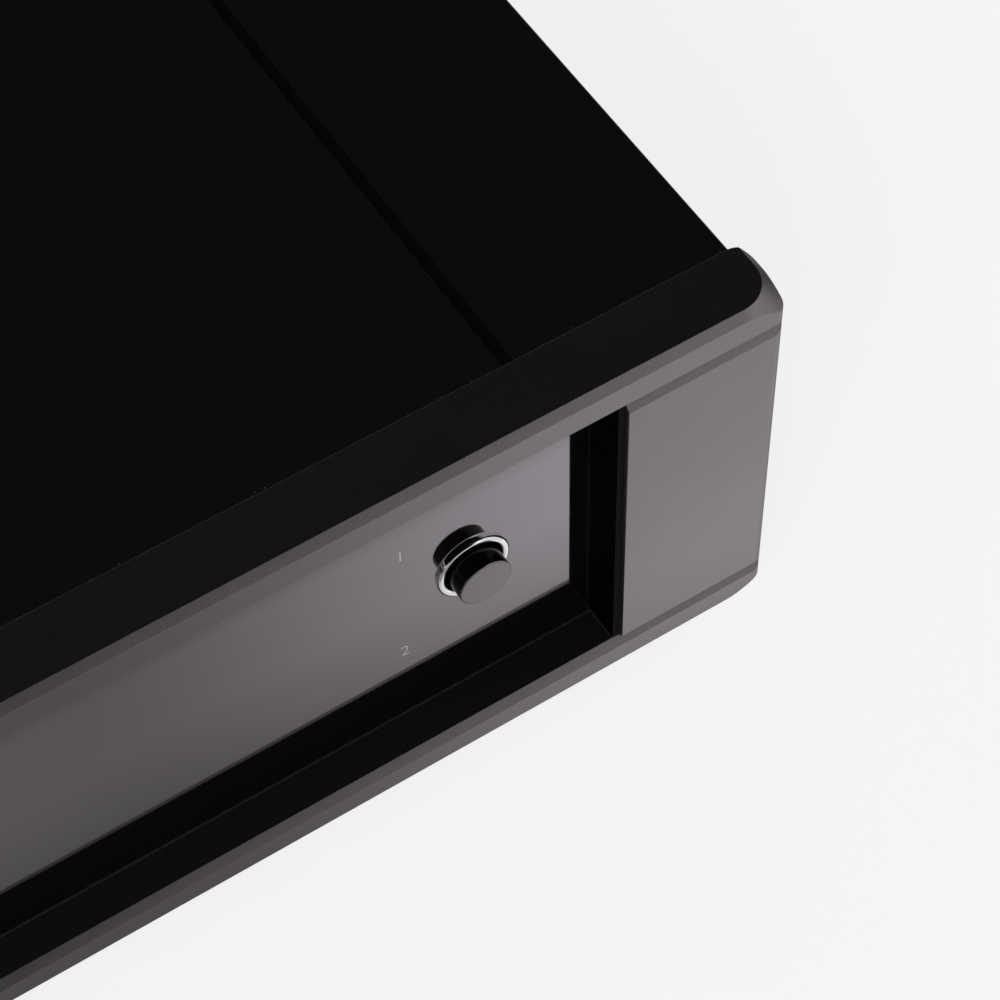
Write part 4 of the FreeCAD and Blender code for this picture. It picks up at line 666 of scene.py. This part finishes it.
def stage_world(look):
    """World that is pale to the camera, and in reflections bright at the front right and dark above."""
    world = bpy.data.worlds.new("studio")
    bpy.context.scene.world = world
    world.use_nodes = True
    tree = world.node_tree
    tree.nodes.clear()
    new, link = tree.nodes.new, tree.links.new
    output = new("ShaderNodeOutputWorld")
    shader = new("ShaderNodeBackground")
    shader.inputs["Color"].default_value = (*look.floor_colour, 1)
    path = new("ShaderNodeLightPath")
    way = new("ShaderNodeSeparateXYZ")
    link(new("ShaderNodeTexCoord").outputs["Generated"], way.inputs["Vector"])
    across = curve(tree, way.outputs["X"], WORLD_RIGHT)
    ahead = curve(tree, way.outputs["Y"], WORLD_FRONT)
    above = curve(tree, way.outputs["Z"], WORLD_HEIGHT)
    glow = combine(tree, "MULTIPLY", combine(tree, "MULTIPLY", across, ahead), above)
    for axis, side, strip in (
        ("X", WORLD_LEFT, LEFT_STRIP), ("Y", WORLD_REAR, REAR_STRIP), ("Y", WORLD_AHEAD, AHEAD_STRIP),
    ):
        part = combine(
            tree, "MULTIPLY", curve(tree, way.outputs[axis], side), curve(tree, way.outputs["Z"], strip),
        )
        glow = combine(tree, "MAXIMUM", glow, part)
    glow = combine(tree, "MULTIPLY", glow, look.front_glow)
    glow = combine(tree, "MAXIMUM", glow, look.rear_glow)
    level = blend_level(tree, path.outputs["Is Glossy Ray"], look.fill_glow, glow)
    for ray in ("Is Camera Ray", "Is Transmission Ray"):
        level = blend_level(tree, path.outputs[ray], level, 1.0)
    link(level, shader.inputs["Strength"])
    link(shader.outputs["Background"], output.inputs["Surface"])


def floor_glow(tree, look):
    """How bright each place of the floor is in reflections."""
    place = tree.nodes.new("ShaderNodeSeparateXYZ")
    tree.links.new(tree.nodes.new("ShaderNodeTexCoord").outputs["Object"], place.inputs["Vector"])
    across, ahead = place.outputs["X"], place.outputs["Y"]
    right = smooth_run(tree, across, *FLOOR_RIGHT, look.left_shade, 1.0)
    left = smooth_run(tree, across, *FLOOR_LEFT)
    beside = smooth_run(tree, across, *FLOOR_BESIDE)
    behind = smooth_run(tree, ahead, *FLOOR_BEHIND)
    shade = combine(tree, "SUBTRACT", 1.0, combine(tree, "MULTIPLY", beside, behind))
    front = curve(tree, ahead, ((NEAREST_FLOOR, look.near_shade), *FLOOR_FRONT))
    glow = combine(tree, "MULTIPLY", combine(tree, "MULTIPLY", right, left), front)
    glow = combine(tree, "MULTIPLY", glow, shade)
    return combine(tree, "MAXIMUM", glow, curve(tree, ahead, FLOOR_FAR))


def stage_floor(look):
    """Plain pale floor that keeps a soft shadow."""
    bm = bmesh.new()
    bmesh.ops.create_circle(bm, cap_ends=True, segments=96, radius=look.floor_radius)
    mesh = bpy.data.meshes.new("floor")
    bm.to_mesh(mesh)
    bm.free()
    floor = bpy.data.objects.new("floor", mesh)
    bpy.context.scene.collection.objects.link(floor)
    material = bpy.data.materials.new("pale_floor")
    material.use_nodes = True
    tree = material.node_tree
    tree.nodes.clear()
    new, link = tree.nodes.new, tree.links.new
    output = new("ShaderNodeOutputMaterial")
    lit = new("ShaderNodeBsdfDiffuse")
    lit.inputs["Color"].default_value = (*look.floor_colour, 1)
    glow = new("ShaderNodeEmission")
    glow.inputs["Color"].default_value = (*look.floor_colour, 1)
    mix = new("ShaderNodeMixShader")
    path = new("ShaderNodeLightPath")
    strength = blend_level(tree, path.outputs["Is Glossy Ray"], 1.0, floor_glow(tree, look))
    link(strength, glow.inputs["Strength"])
    seen = combine(tree, "MAXIMUM", path.outputs["Is Camera Ray"], path.outputs["Is Transmission Ray"])
    seen = combine(tree, "MULTIPLY", seen, 1 - look.floor_shadow)
    seen = combine(tree, "MAXIMUM", seen, path.outputs["Is Glossy Ray"])
    link(seen, mix.inputs["Fac"])
    link(lit.outputs["BSDF"], mix.inputs[1])
    link(glow.outputs["Emission"], mix.inputs[2])
    link(mix.outputs["Shader"], output.inputs["Surface"])
    mesh.materials.append(material)


def soft_lamp(name, power, width, height, place, target=(0, -0.04, 0.04)):
    """Soft box that neither the camera nor a reflection sees."""
    light = bpy.data.lights.new(name, "AREA")
    light.shape = "RECTANGLE"
    light.size = width
    light.size_y = height
    light.energy = power
    lamp = bpy.data.objects.new(name, light)
    lamp.location = place
    lamp.rotation_euler = (Vector(target) - Vector(place)).to_track_quat("-Z", "Y").to_euler()
    lamp.visible_camera = False
    lamp.visible_glossy = False
    bpy.context.scene.collection.objects.link(lamp)


class PREAMP_OT_stage(Operator):
    """Floor, world, soft lamps and the camera at the photographed angle."""

    bl_idname = "preamp.stage"
    bl_label = "Stage"

    def execute(self, context):
        look = context.scene.stage_look
        stage_world(look)
        stage_floor(look)
        soft_lamp("key_lamp", look.key_power, width=0.9, height=0.7, place=(-1.0, -1.1, 1.25))
        soft_lamp("side_lamp", look.side_power, width=0.5, height=0.9, place=(1.5, -0.25, 0.65))
        soft_lamp("rear_lamp", look.rear_power, width=0.7, height=0.6, place=(-1.2, 1.3, 0.6))
        camera = bpy.data.objects.new("camera", bpy.data.cameras.new("camera"))
        camera.data.lens = look.focal_length
        camera.data.sensor_width = 36
        camera.data.clip_start = 0.01
        camera.data.clip_end = 100
        camera.location = look.camera_place
        camera.rotation_euler = look.camera_turn
        context.scene.collection.objects.link(camera)
        context.scene.camera = camera
        context.scene.view_settings.view_transform = "Standard"
        return {"FINISHED"}


class PREAMP_OT_bezel(Operator):
    """Satin coat of the machined bezel, with fine grain on its front faces."""

    bl_idname = "preamp.bezel"
    bl_label = "Front Bezel"

    def execute(self, context):
        look = context.scene.front_look
        coat = powder_coat(
            "bezel_coat", tuple(look.bezel_colour), look.bezel_roughness, 3.4, depth=0.03 * MM,
        )
        coat.put("Specular Tint", (1.0, 0.91, 0.975, 1.0))
        grain = coat.fade(coat.noise(0.3 * MM, 3.0), 0.42, 0.72)
        coat.tint(coat.sums("MULTIPLY", grain, coat.near("Y", LIP_FACE, 0.4 * MM)), look.grain_colour)
        dress(coat, "front_bezel")
        dress(powder_coat("stud_steel", (0.35, 0.35, 0.36), 0.4, 1.8), "bezel_screws")
        return {"FINISHED"}


class PREAMP_OT_lining(Operator):
    """Thin black lining of the window, with painted light on its lower wall and ledges, fine dust on its
    lower wall and dust in its corners.
    """

    bl_idname = "preamp.lining"
    bl_label = "Window Lining"

    def execute(self, context):
        look = context.scene.front_look
        black = Finish("lining_black", tuple(look.lining_colour), 0.5, ior=1.02).soften(0.06 * MM)
        fine = black.noise(0.2 * MM, 3.0)
        black.relief(fine, 0.004 * MM)
        black.tint_by(black.fade(fine, 0.5, 0.75), 0.8)
        black.vary("Roughness", black.noise(3 * MM), 0.45, 0.55)
        # Painted light: the lower wall is made lighter, as if lit from above, and carries fine dust too.
        low_wall = black.near("Z", WINDOW_LOW, 0.4 * MM)
        black.tint(low_wall, look.lit_dust_colour)
        # Painted light: the forward face of each ledge is made lighter, as if lit from the front.
        ledge = black.near("Y", LIP_FACE + look.ledge_depth - look.lining_wall, 0.06 * MM)
        black.tint(ledge, look.lit_ledge_colour)
        specks = black.fade(black.noise(0.3 * MM, 2.0), 0.58, 0.70, 0.3, 1.0)
        from_middle = black.sums("ABSOLUTE", black.axis("X"))
        end_wall = black.fade(from_middle, WINDOW_HALF - 0.5 * MM, WINDOW_HALF)
        corner = black.sums("MULTIPLY", end_wall, black.near("Z", WINDOW_LOW, 0.5 * MM))
        foot = black.sums("MULTIPLY", low_wall, black.near("Y", PANEL_FACE, 0.4 * MM))
        seam = black.sums("MAXIMUM", corner, foot)
        black.tint(black.sums("MULTIPLY", seam, specks), look.speck_colour)
        self.add_lining(look, black)
        return {"FINISHED"}

    def add_lining(self, look, black):
        """Thin boards on the window's four walls, and a flat strip on each ledge."""
        front = LIP_FACE + look.ledge_depth
        bm = bmesh.new()
        made = bmesh.ops.create_grid(bm, x_segments=1, y_segments=1, size=1.0)
        tall, level = WINDOW_HIGH - WINDOW_LOW, (WINDOW_LOW + WINDOW_HIGH) / 2
        bmesh.ops.scale(bm, vec=(WINDOW_HALF, tall / 2, 1), verts=made["verts"])
        ring = bmesh.ops.inset_region(
            bm, faces=bm.faces[:], thickness=look.lining_wall, use_even_offset=True, use_boundary=True,
        )
        inner = [face for face in bm.faces if face not in ring["faces"]]
        bmesh.ops.delete(bm, geom=inner, context="FACES")
        moved = verts_of(bmesh.ops.extrude_face_region(bm, geom=bm.faces[:]))
        bmesh.ops.translate(bm, vec=(0, 0, PANEL_FACE - front), verts=moved)
        put(bm, Matrix.Rotation(math.radians(-90), 3, "X"), (0, front, level))
        for side in (-1, 1):
            made = bmesh.ops.create_cube(bm, size=1.0)
            size = (look.ledge_width, look.lining_wall, tall)
            place = (side * (WINDOW_HALF + size[0] / 2), front - size[1] / 2, level)
            bmesh.ops.scale(bm, vec=size, verts=made["verts"])
            bmesh.ops.translate(bm, vec=place, verts=made["verts"])
        bmesh.ops.recalc_face_normals(bm, faces=bm.faces)
        add_piece("window_lining", bm, black, "case")


class PREAMP_OT_panel(Operator):
    """Mirror-black panel, its foam gasket and the two printed numbers."""

    bl_idname = "preamp.panel"
    bl_label = "Glossy Panel"

    def execute(self, context):
        look = context.scene.front_look
        gloss = Finish("panel_gloss", tuple(look.panel_colour), 0.035, ior=3.4)
        gloss.put("Specular Tint", (1.0, 0.92, 1.0, 1.0))
        gloss.relief(gloss.noise(14 * MM, 1.0), 0.004 * MM)
        gloss.vary("Roughness", gloss.noise(6 * MM, 3.0), 0.03, 0.06)
        from_middle = gloss.sums("ABSOLUTE", gloss.axis("X"))
        short_of_wall = gloss.sums("SUBTRACT", from_middle, WINDOW_HALF - 0.8 * MM)
        side_edge = gloss.fade(gloss.sums("ABSOLUTE", short_of_wall), 0.25 * MM, 0.0)
        rim = gloss.sums("MAXIMUM", gloss.near("Z", WINDOW_LOW, 0.7 * MM), side_edge)
        specks = gloss.fade(gloss.noise(0.35 * MM, 2.0), 0.50, 0.66)
        gloss.tint(gloss.sums("MULTIPLY", rim, specks), look.speck_colour)
        dress(gloss, "fascia_panel")
        foam = moulded("gasket_foam", (0.02, 0.02, 0.02), 0.9, 0.5 * MM, 0.05 * MM)
        dress(foam, "panel_gasket")
        ink = Finish("mark_ink", tuple(look.mark_colour), 0.5)
        worn = ink.fade(ink.noise(0.12 * MM, 2.0), 0.5, 0.7)
        ink.tint(worn, tuple(0.7 * c for c in look.mark_colour))
        ink.relief(ink.noise(0.1 * MM), 0.002 * MM)
        for name, text, place in (
            ("upper_mark", look.upper_mark, UPPER_MARK_PLACE),
            ("lower_mark", look.lower_mark, LOWER_MARK_PLACE),
        ):
            self.add_mark(name, text, place, look.mark_height, ink)
        return {"FINISHED"}

    def add_mark(self, name, text, place, height, ink):
        """Thin printed number, centred at a place on the panel."""
        words = bpy.data.curves.new(name, "FONT")
        words.body = text
        words.size = 1.0
        words.align_x = "CENTER"
        words.align_y = "CENTER"
        words.offset = -0.012
        carrier = bpy.data.objects.new(name, words)
        bpy.context.scene.collection.objects.link(carrier)
        bpy.context.view_layer.update()
        shaped = carrier.evaluated_get(bpy.context.evaluated_depsgraph_get())
        flat = bpy.data.meshes.new_from_object(shaped)
        bpy.data.objects.remove(carrier)
        bm = bmesh.new()
        bm.from_mesh(flat)
        bmesh.ops.remove_doubles(bm, verts=bm.verts, dist=1e-4)
        across = [vert.co.x for vert in bm.verts]
        upward = [vert.co.y for vert in bm.verts]
        centre = (-(max(across) + min(across)) / 2, -(max(upward) + min(upward)) / 2, 0)
        bmesh.ops.translate(bm, vec=centre, verts=bm.verts)
        bmesh.ops.scale(bm, vec=(height / (max(upward) - min(upward)),) * 3, verts=bm.verts)
        front = bm.faces[:]
        bmesh.ops.recalc_face_normals(bm, faces=front)
        raised = verts_of(bmesh.ops.extrude_face_region(bm, geom=front))
        bmesh.ops.translate(bm, vec=(0, 0, INK_THICKNESS), verts=raised)
        bmesh.ops.recalc_face_normals(bm, faces=bm.faces)
        put(bm, Matrix.Rotation(math.radians(90), 3, "X"), (place[0], PANEL_FACE, place[1]))
        add_piece(name, bm, ink, "case")


class PREAMP_OT_buttons(Operator):
    """Polished rings with their sleeves, and the two push buttons."""

    bl_idname = "preamp.buttons"
    bl_label = "Buttons and Rings"

    def execute(self, context):
        look = context.scene.front_look
        chrome = Finish("ring_chrome", (1.0, 1.0, 1.0), 0.05, metallic=1.0)
        chrome.relief(chrome.noise(0.6 * MM, 3.0), 0.0008 * MM)
        chrome.tint(chrome.fade(chrome.noise(1.2 * MM, 4.0), 0.5, 0.8), (0.92, 0.92, 0.94))
        chrome.vary("Roughness", chrome.noise(0.4 * MM, 3.0), 0.04, 0.09)
        black = self.polish("cap_black", 2.7, 0.05, 0.09)
        black.put("Specular Tint", (1.0, 0.91, 0.98, 1.0))
        dull = self.polish("cap_flank", 1.3, 0.10, 0.16)
        for side in ("selector", "power"):
            self.add_ring(f"{side}_ring", look.ring_rounding, chrome)
            self.add_cap(f"{side}_cap", f"{side}_button", look.cap_rounding, black, dull)
        dress(moulded("plunger_grey", (0.32, 0.32, 0.33)), "selector_plunger", "power_plunger")
        return {"FINISHED"}

    def polish(self, name, ior, smoothest, roughest):
        """Black plastic of the buttons."""
        plastic = Finish(name, (0.001, 0.001, 0.0012), smoothest, ior=ior)
        plastic.relief(plastic.noise(2 * MM, 1.0), 0.002 * MM)
        plastic.tint_by(plastic.noise(0.5 * MM, 3.0), 0.4)
        return plastic.vary("Roughness", plastic.noise(0.7 * MM, 3.0), smoothest, roughest)

    def add_ring(self, node, rounding, chrome):
        """Ring whose front is fully rounded, with its sleeve through the panel."""
        low, high = corners(node)
        centre = middle(node)
        outer = (high.x - low.x) / 2
        bore = outer - RING_WALL
        sleeve = bore + SLEEVE_WALL
        outline = [
            (bore, low.y), (outer, low.y), (outer, PANEL_FACE), (sleeve, PANEL_FACE), (sleeve, high.y),
            (bore, high.y),
        ]
        outline = rounded(outline, {0: rounding, 1: rounding}, 8)
        bm = bmesh.new()
        lathe(bm, outline, (centre.x, 0, centre.z), ROUND_STEPS)
        add_piece(f"{node}_polished", bm, chrome, "case", (node,), 40)

    def add_cap(self, node, body, rounding, black, dull):
        """Button with a flat face, rounded rim, flange and stem."""
        low, high = corners(node)
        centre = middle(node)
        flange = (high.x - low.x) / 2
        radius = flange - CAP_FLANGE
        flange_back = high.y - STEM_LENGTH
        flange_front = flange_back - FLANGE_THICKNESS
        outline = [
            (0, low.y), (radius - 2 * rounding, low.y), (radius, low.y), (radius, flange_front),
            (flange, flange_front), (flange, flange_back), (STEM_RADIUS, flange_back),
            (STEM_RADIUS, high.y), (0, high.y),
        ]
        outline = rounded(outline, {2: rounding}, 8)
        bm = bmesh.new()
        lathe(bm, outline, (centre.x, 0, centre.z), ROUND_STEPS)
        add_piece(f"{node}_polished", bm, black, body, (node,), 40, dull)


class PREAMP_OT_cover(Operator):
    """Coat of the folded top cover, with fine dust where it meets the bezel."""

    bl_idname = "preamp.cover"
    bl_label = "Top Cover"

    def execute(self, context):
        look = context.scene.case_look
        coat = powder_coat("cover_coat", tuple(look.cover_colour), look.cover_roughness, 1.7)
        dust = coat.sums(
            "MULTIPLY",
            coat.near("Y", SEAM + 0.2 * MM, 0.5 * MM),
            coat.fade(coat.noise(0.3 * MM, 2.0), 0.66, 0.74),
        )
        coat.tint(dust, (0.12, 0.10, 0.09))
        dress(coat, "top_cover")
        return {"FINISHED"}


class PREAMP_OT_tray(Operator):
    """Matt coat of the base tray and the rear panel."""

    bl_idname = "preamp.tray"
    bl_label = "Tray and Rear Panel"

    def execute(self, context):
        look = context.scene.case_look
        coat = powder_coat("tray_coat", tuple(look.tray_colour), 0.5, 1.6, 0.35 * MM, 0.012 * MM)
        dress(coat, "chassis_base", "rear_panel")
        return {"FINISHED"}


class PREAMP_OT_feet(Operator):
    """Moulded rubber feet."""

    bl_idname = "preamp.feet"
    bl_label = "Feet"

    def execute(self, context):
        colour = tuple(context.scene.case_look.foot_colour)
        rubber = moulded("foot_rubber", colour, 0.7, 0.4 * MM, 0.02 * MM)
        names = [f"foot_{end}_{side}" for end in ("front", "rear") for side in ("left", "right")]
        dress(rubber, *names)
        return {"FINISHED"}


class PREAMP_OT_screws(Operator):
    """Zinc and black screws, with cross recesses where they show."""

    bl_idname = "preamp.screws"
    bl_label = "Screws"

    def execute(self, context):
        zinc = plated("screw_zinc", tuple(context.scene.inside_look.zinc_colour), 0.3)
        dress(zinc, "board_screws", "front_board_screws", "transformer_bolt")
        oxide = powder_coat("screw_oxide", (0.012, 0.012, 0.013), 0.34, 2.0, 0.15 * MM)
        look = context.scene.screw_look
        add_screws("cover_screws_cross", "cover_screws", 0, 0, oxide, look)
        add_screws("rear_screws_cross", "rear_screws", 1, 1, oxide, look)
        add_screws("inlet_screws_cross", "inlet_screws", 1, 1, oxide, look)
        add_screws("foot_screws_cross", "foot_screws", 2, -1, zinc, look)
        return {"FINISHED"}


class PREAMP_OT_jacks(Operator):
    """Gold plated jacks with white and red insulators."""

    bl_idname = "preamp.jacks"
    bl_label = "Phono Jacks"

    def execute(self, context):
        look = context.scene.rear_look
        gold = plated("jack_gold", tuple(look.gold_colour), 0.16)
        names = [
            f"jack_{pair}_{side}" for pair in ("output", "coil", "magnet") for side in ("left", "right")
        ]
        dress(gold, *names, "jack_contacts", "jack_nuts")
        dress(glossy("insert_white", tuple(look.left_colour)), "jack_inserts_white")
        dress(glossy("insert_red", tuple(look.right_colour)), "jack_inserts_red")
        return {"FINISHED"}


class PREAMP_OT_earth(Operator):
    """Threaded earth post with its collar, washer and knurled nut."""

    bl_idname = "preamp.earth"
    bl_label = "Earth Terminal"

    def execute(self, context):
        look = context.scene.rear_look
        gold = plated("terminal_gold", tuple(look.gold_colour), 0.2)
        dress(gold, "ground_washer", "ground_nut")
        self.add_post("ground_post", look, gold)
        return {"FINISHED"}

    def add_post(self, node, look, gold):
        """Post with its collar, a chamfered tip and a cut thread."""
        low, high = corners(node)
        centre = middle(node)
        pitch, crest = look.thread_pitch, look.post_radius
        root = crest - TOOTH_HEIGHT * pitch
        collar = (high.x - low.x) / 2
        step = REAR_FACE + look.collar_thickness
        bm = bmesh.new()
        outline = [
            (0, low.y), (crest, low.y), (crest, REAR_FACE), (collar, REAR_FACE), (collar, step),
            (root, step), (root, high.y - TIP_CHAMFER), (root - TIP_CHAMFER, high.y), (0, high.y),
        ]
        lathe(bm, rounded(outline, {4: TIP_CHAMFER}, 4), (centre.x, 0, centre.z), 48)
        turns = int((high.y - step) / pitch) - 1
        foot, top = TOOTH_FOOT * pitch, TOOTH_CREST * pitch
        tooth = [(root - TOOTH_SINK, -foot), (crest, -top), (crest, top), (root - TOOTH_SINK, foot)]
        first = step + 0.5 * pitch
        places = [(centre.x + radius, first + reach, centre.z) for radius, reach in tooth]
        points, edges = chain(bm, places, True)
        bmesh.ops.spin(
            bm, geom=points + edges, cent=(centre.x, 0, centre.z), axis=(0, 1, 0),
            dvec=(0, pitch / THREAD_STEPS, 0), angle=FULL_TURN * turns, steps=THREAD_STEPS * turns,
            use_merge=False, use_duplicate=False,
        )
        bmesh.ops.holes_fill(bm, edges=[edge for edge in bm.edges if edge.is_boundary], sides=4)
        bmesh.ops.recalc_face_normals(bm, faces=bm.faces)
        add_piece(f"{node}_threaded", bm, gold, "case", (node,), 30)


class PREAMP_OT_inlet(Operator):
    """Mains inlet with its blades and fuse drawer."""

    bl_idname = "preamp.inlet"
    bl_label = "Mains Inlet"

    def execute(self, context):
        look = context.scene.rear_look
        plastic = moulded("inlet_plastic", tuple(look.plastic_colour), 0.4)
        dress(plastic, "mains_inlet", "fuse_drawer")
        nickel = plated("inlet_nickel", (0.68, 0.66, 0.62), 0.22)
        dress(nickel, "inlet_pins", "fuse")
        return {"FINISHED"}


class PREAMP_OT_sliders(Operator):
    """Slide switches with their white levers, and the push switches."""

    bl_idname = "preamp.sliders"
    bl_label = "Switches"

    def execute(self, context):
        look = context.scene.rear_look
        dress(
            moulded("switch_black", tuple(look.plastic_colour), 0.5),
            "gain_switch", "load_switch", "selector_switch", "power_switch",
        )
        dress(moulded("lever_white", (0.72, 0.72, 0.70), 0.4), "gain_slider", "load_slider")
        return {"FINISHED"}


class PREAMP_OT_boards(Operator):
    """Circuit boards with solder mask over copper tracks, and their standoffs."""

    bl_idname = "preamp.boards"
    bl_label = "Circuit Boards"

    def execute(self, context):
        look = context.scene.inside_look
        mask = Finish("solder_mask", tuple(look.board_colour), 0.3).soften()
        tracks = mask.fade(mask.cells(2.2 * MM, (1, 0.35, 1)), 0.32, 0.36)
        mask.tint(tracks, tuple(1.9 * c for c in look.board_colour))
        mask.relief(tracks, 0.03 * MM)
        mask.vary("Roughness", mask.noise(1.5 * MM), 0.25, 0.4)
        dress(mask, "main_board", "jack_board", "front_board")
        dress(plated("standoff_zinc", tuple(look.zinc_colour), 0.3), "board_standoffs")
        return {"FINISHED"}


class PREAMP_OT_transformer(Operator):
    """Taped toroidal transformer with rubber pads and a dished plate."""

    bl_idname = "preamp.transformer"
    bl_label = "Transformer"

    def execute(self, context):
        look = context.scene.inside_look
        tape = Finish("winding_tape", tuple(look.tape_colour), 0.3).soften()
        tape.tint(tape.noise(3 * MM, 4.0), tuple(0.6 * c for c in look.tape_colour))
        tape.relief(tape.noise(1.2 * MM, 2.0), 0.05 * MM)
        dress(tape, "transformer_winding")
        dress(moulded("pad_rubber", (0.02, 0.02, 0.02), 0.8), "transformer_pads")
        dress(plated("plate_zinc", tuple(look.zinc_colour), 0.32, 0.6 * MM), "transformer_plate")
        return {"FINISHED"}


class PREAMP_OT_parts(Operator):
    """Capacitors, chips, relays, heat sink and regulators."""

    bl_idname = "preamp.parts"
    bl_label = "Board Parts"

    def execute(self, context):
        look = context.scene.inside_look
        dress(glossy("capacitor_sleeve", (0.012, 0.018, 0.07)), "filter_capacitors")
        dress(glossy("film_red", (0.40, 0.03, 0.02)), "film_capacitors")
        dress(moulded("chip_black", (0.02, 0.02, 0.02), 0.5), "amplifier_chips", "voltage_regulators")
        dress(moulded("relay_blue", tuple(look.relay_colour), 0.4), "input_relays")
        fins = plated("sink_aluminium", (0.62, 0.63, 0.64), 0.38, 0.8 * MM)
        dress(fins, "heat_sink")
        return {"FINISHED"}


STEPS = (
    PREAMP_OT_stage, PREAMP_OT_bezel, PREAMP_OT_lining, PREAMP_OT_panel, PREAMP_OT_buttons, PREAMP_OT_cover,
    PREAMP_OT_tray, PREAMP_OT_feet, PREAMP_OT_screws, PREAMP_OT_jacks, PREAMP_OT_earth,
    PREAMP_OT_inlet, PREAMP_OT_sliders, PREAMP_OT_boards, PREAMP_OT_transformer, PREAMP_OT_parts,
)
LOOKS = (
    ("stage_look", StageLook), ("front_look", FrontLook), ("case_look", CaseLook),
    ("screw_look", ScrewLook), ("rear_look", RearLook), ("inside_look", InsideLook),
)


class PREAMP_PT_sidebar(Panel):
    """Sizes, colours and steps of the phono preamp."""

    bl_idname = "PREAMP_PT_sidebar"
    bl_label = "Phono Preamp"
    bl_space_type = "VIEW_3D"
    bl_region_type = "UI"
    bl_category = "Phono Preamp"

    def draw(self, context):
        for attribute, group in LOOKS:
            box = self.layout.box()
            for key in group.__annotations__:
                box.prop(getattr(context.scene, attribute), key)
        for step in STEPS:
            self.layout.operator(step.bl_idname)


def register():
    """Registers every class and hangs the settings on the scene."""
    for attribute, group in LOOKS:
        bpy.utils.register_class(group)
        setattr(bpy.types.Scene, attribute, PointerProperty(type=group))
    for step in STEPS:
        bpy.utils.register_class(step)
    bpy.utils.register_class(PREAMP_PT_sidebar)


def unregister():
    """Takes back what register added."""
    bpy.utils.unregister_class(PREAMP_PT_sidebar)
    for step in reversed(STEPS):
        bpy.utils.unregister_class(step)
    for attribute, group in reversed(LOOKS):
        delattr(bpy.types.Scene, attribute)
        bpy.utils.unregister_class(group)


def main():
    """Makes the whole scene."""
    register()
    for step in STEPS:
        area, action = step.bl_idname.split(".")
        getattr(getattr(bpy.ops, area), action)()


if __name__ == "__main__":
    main()
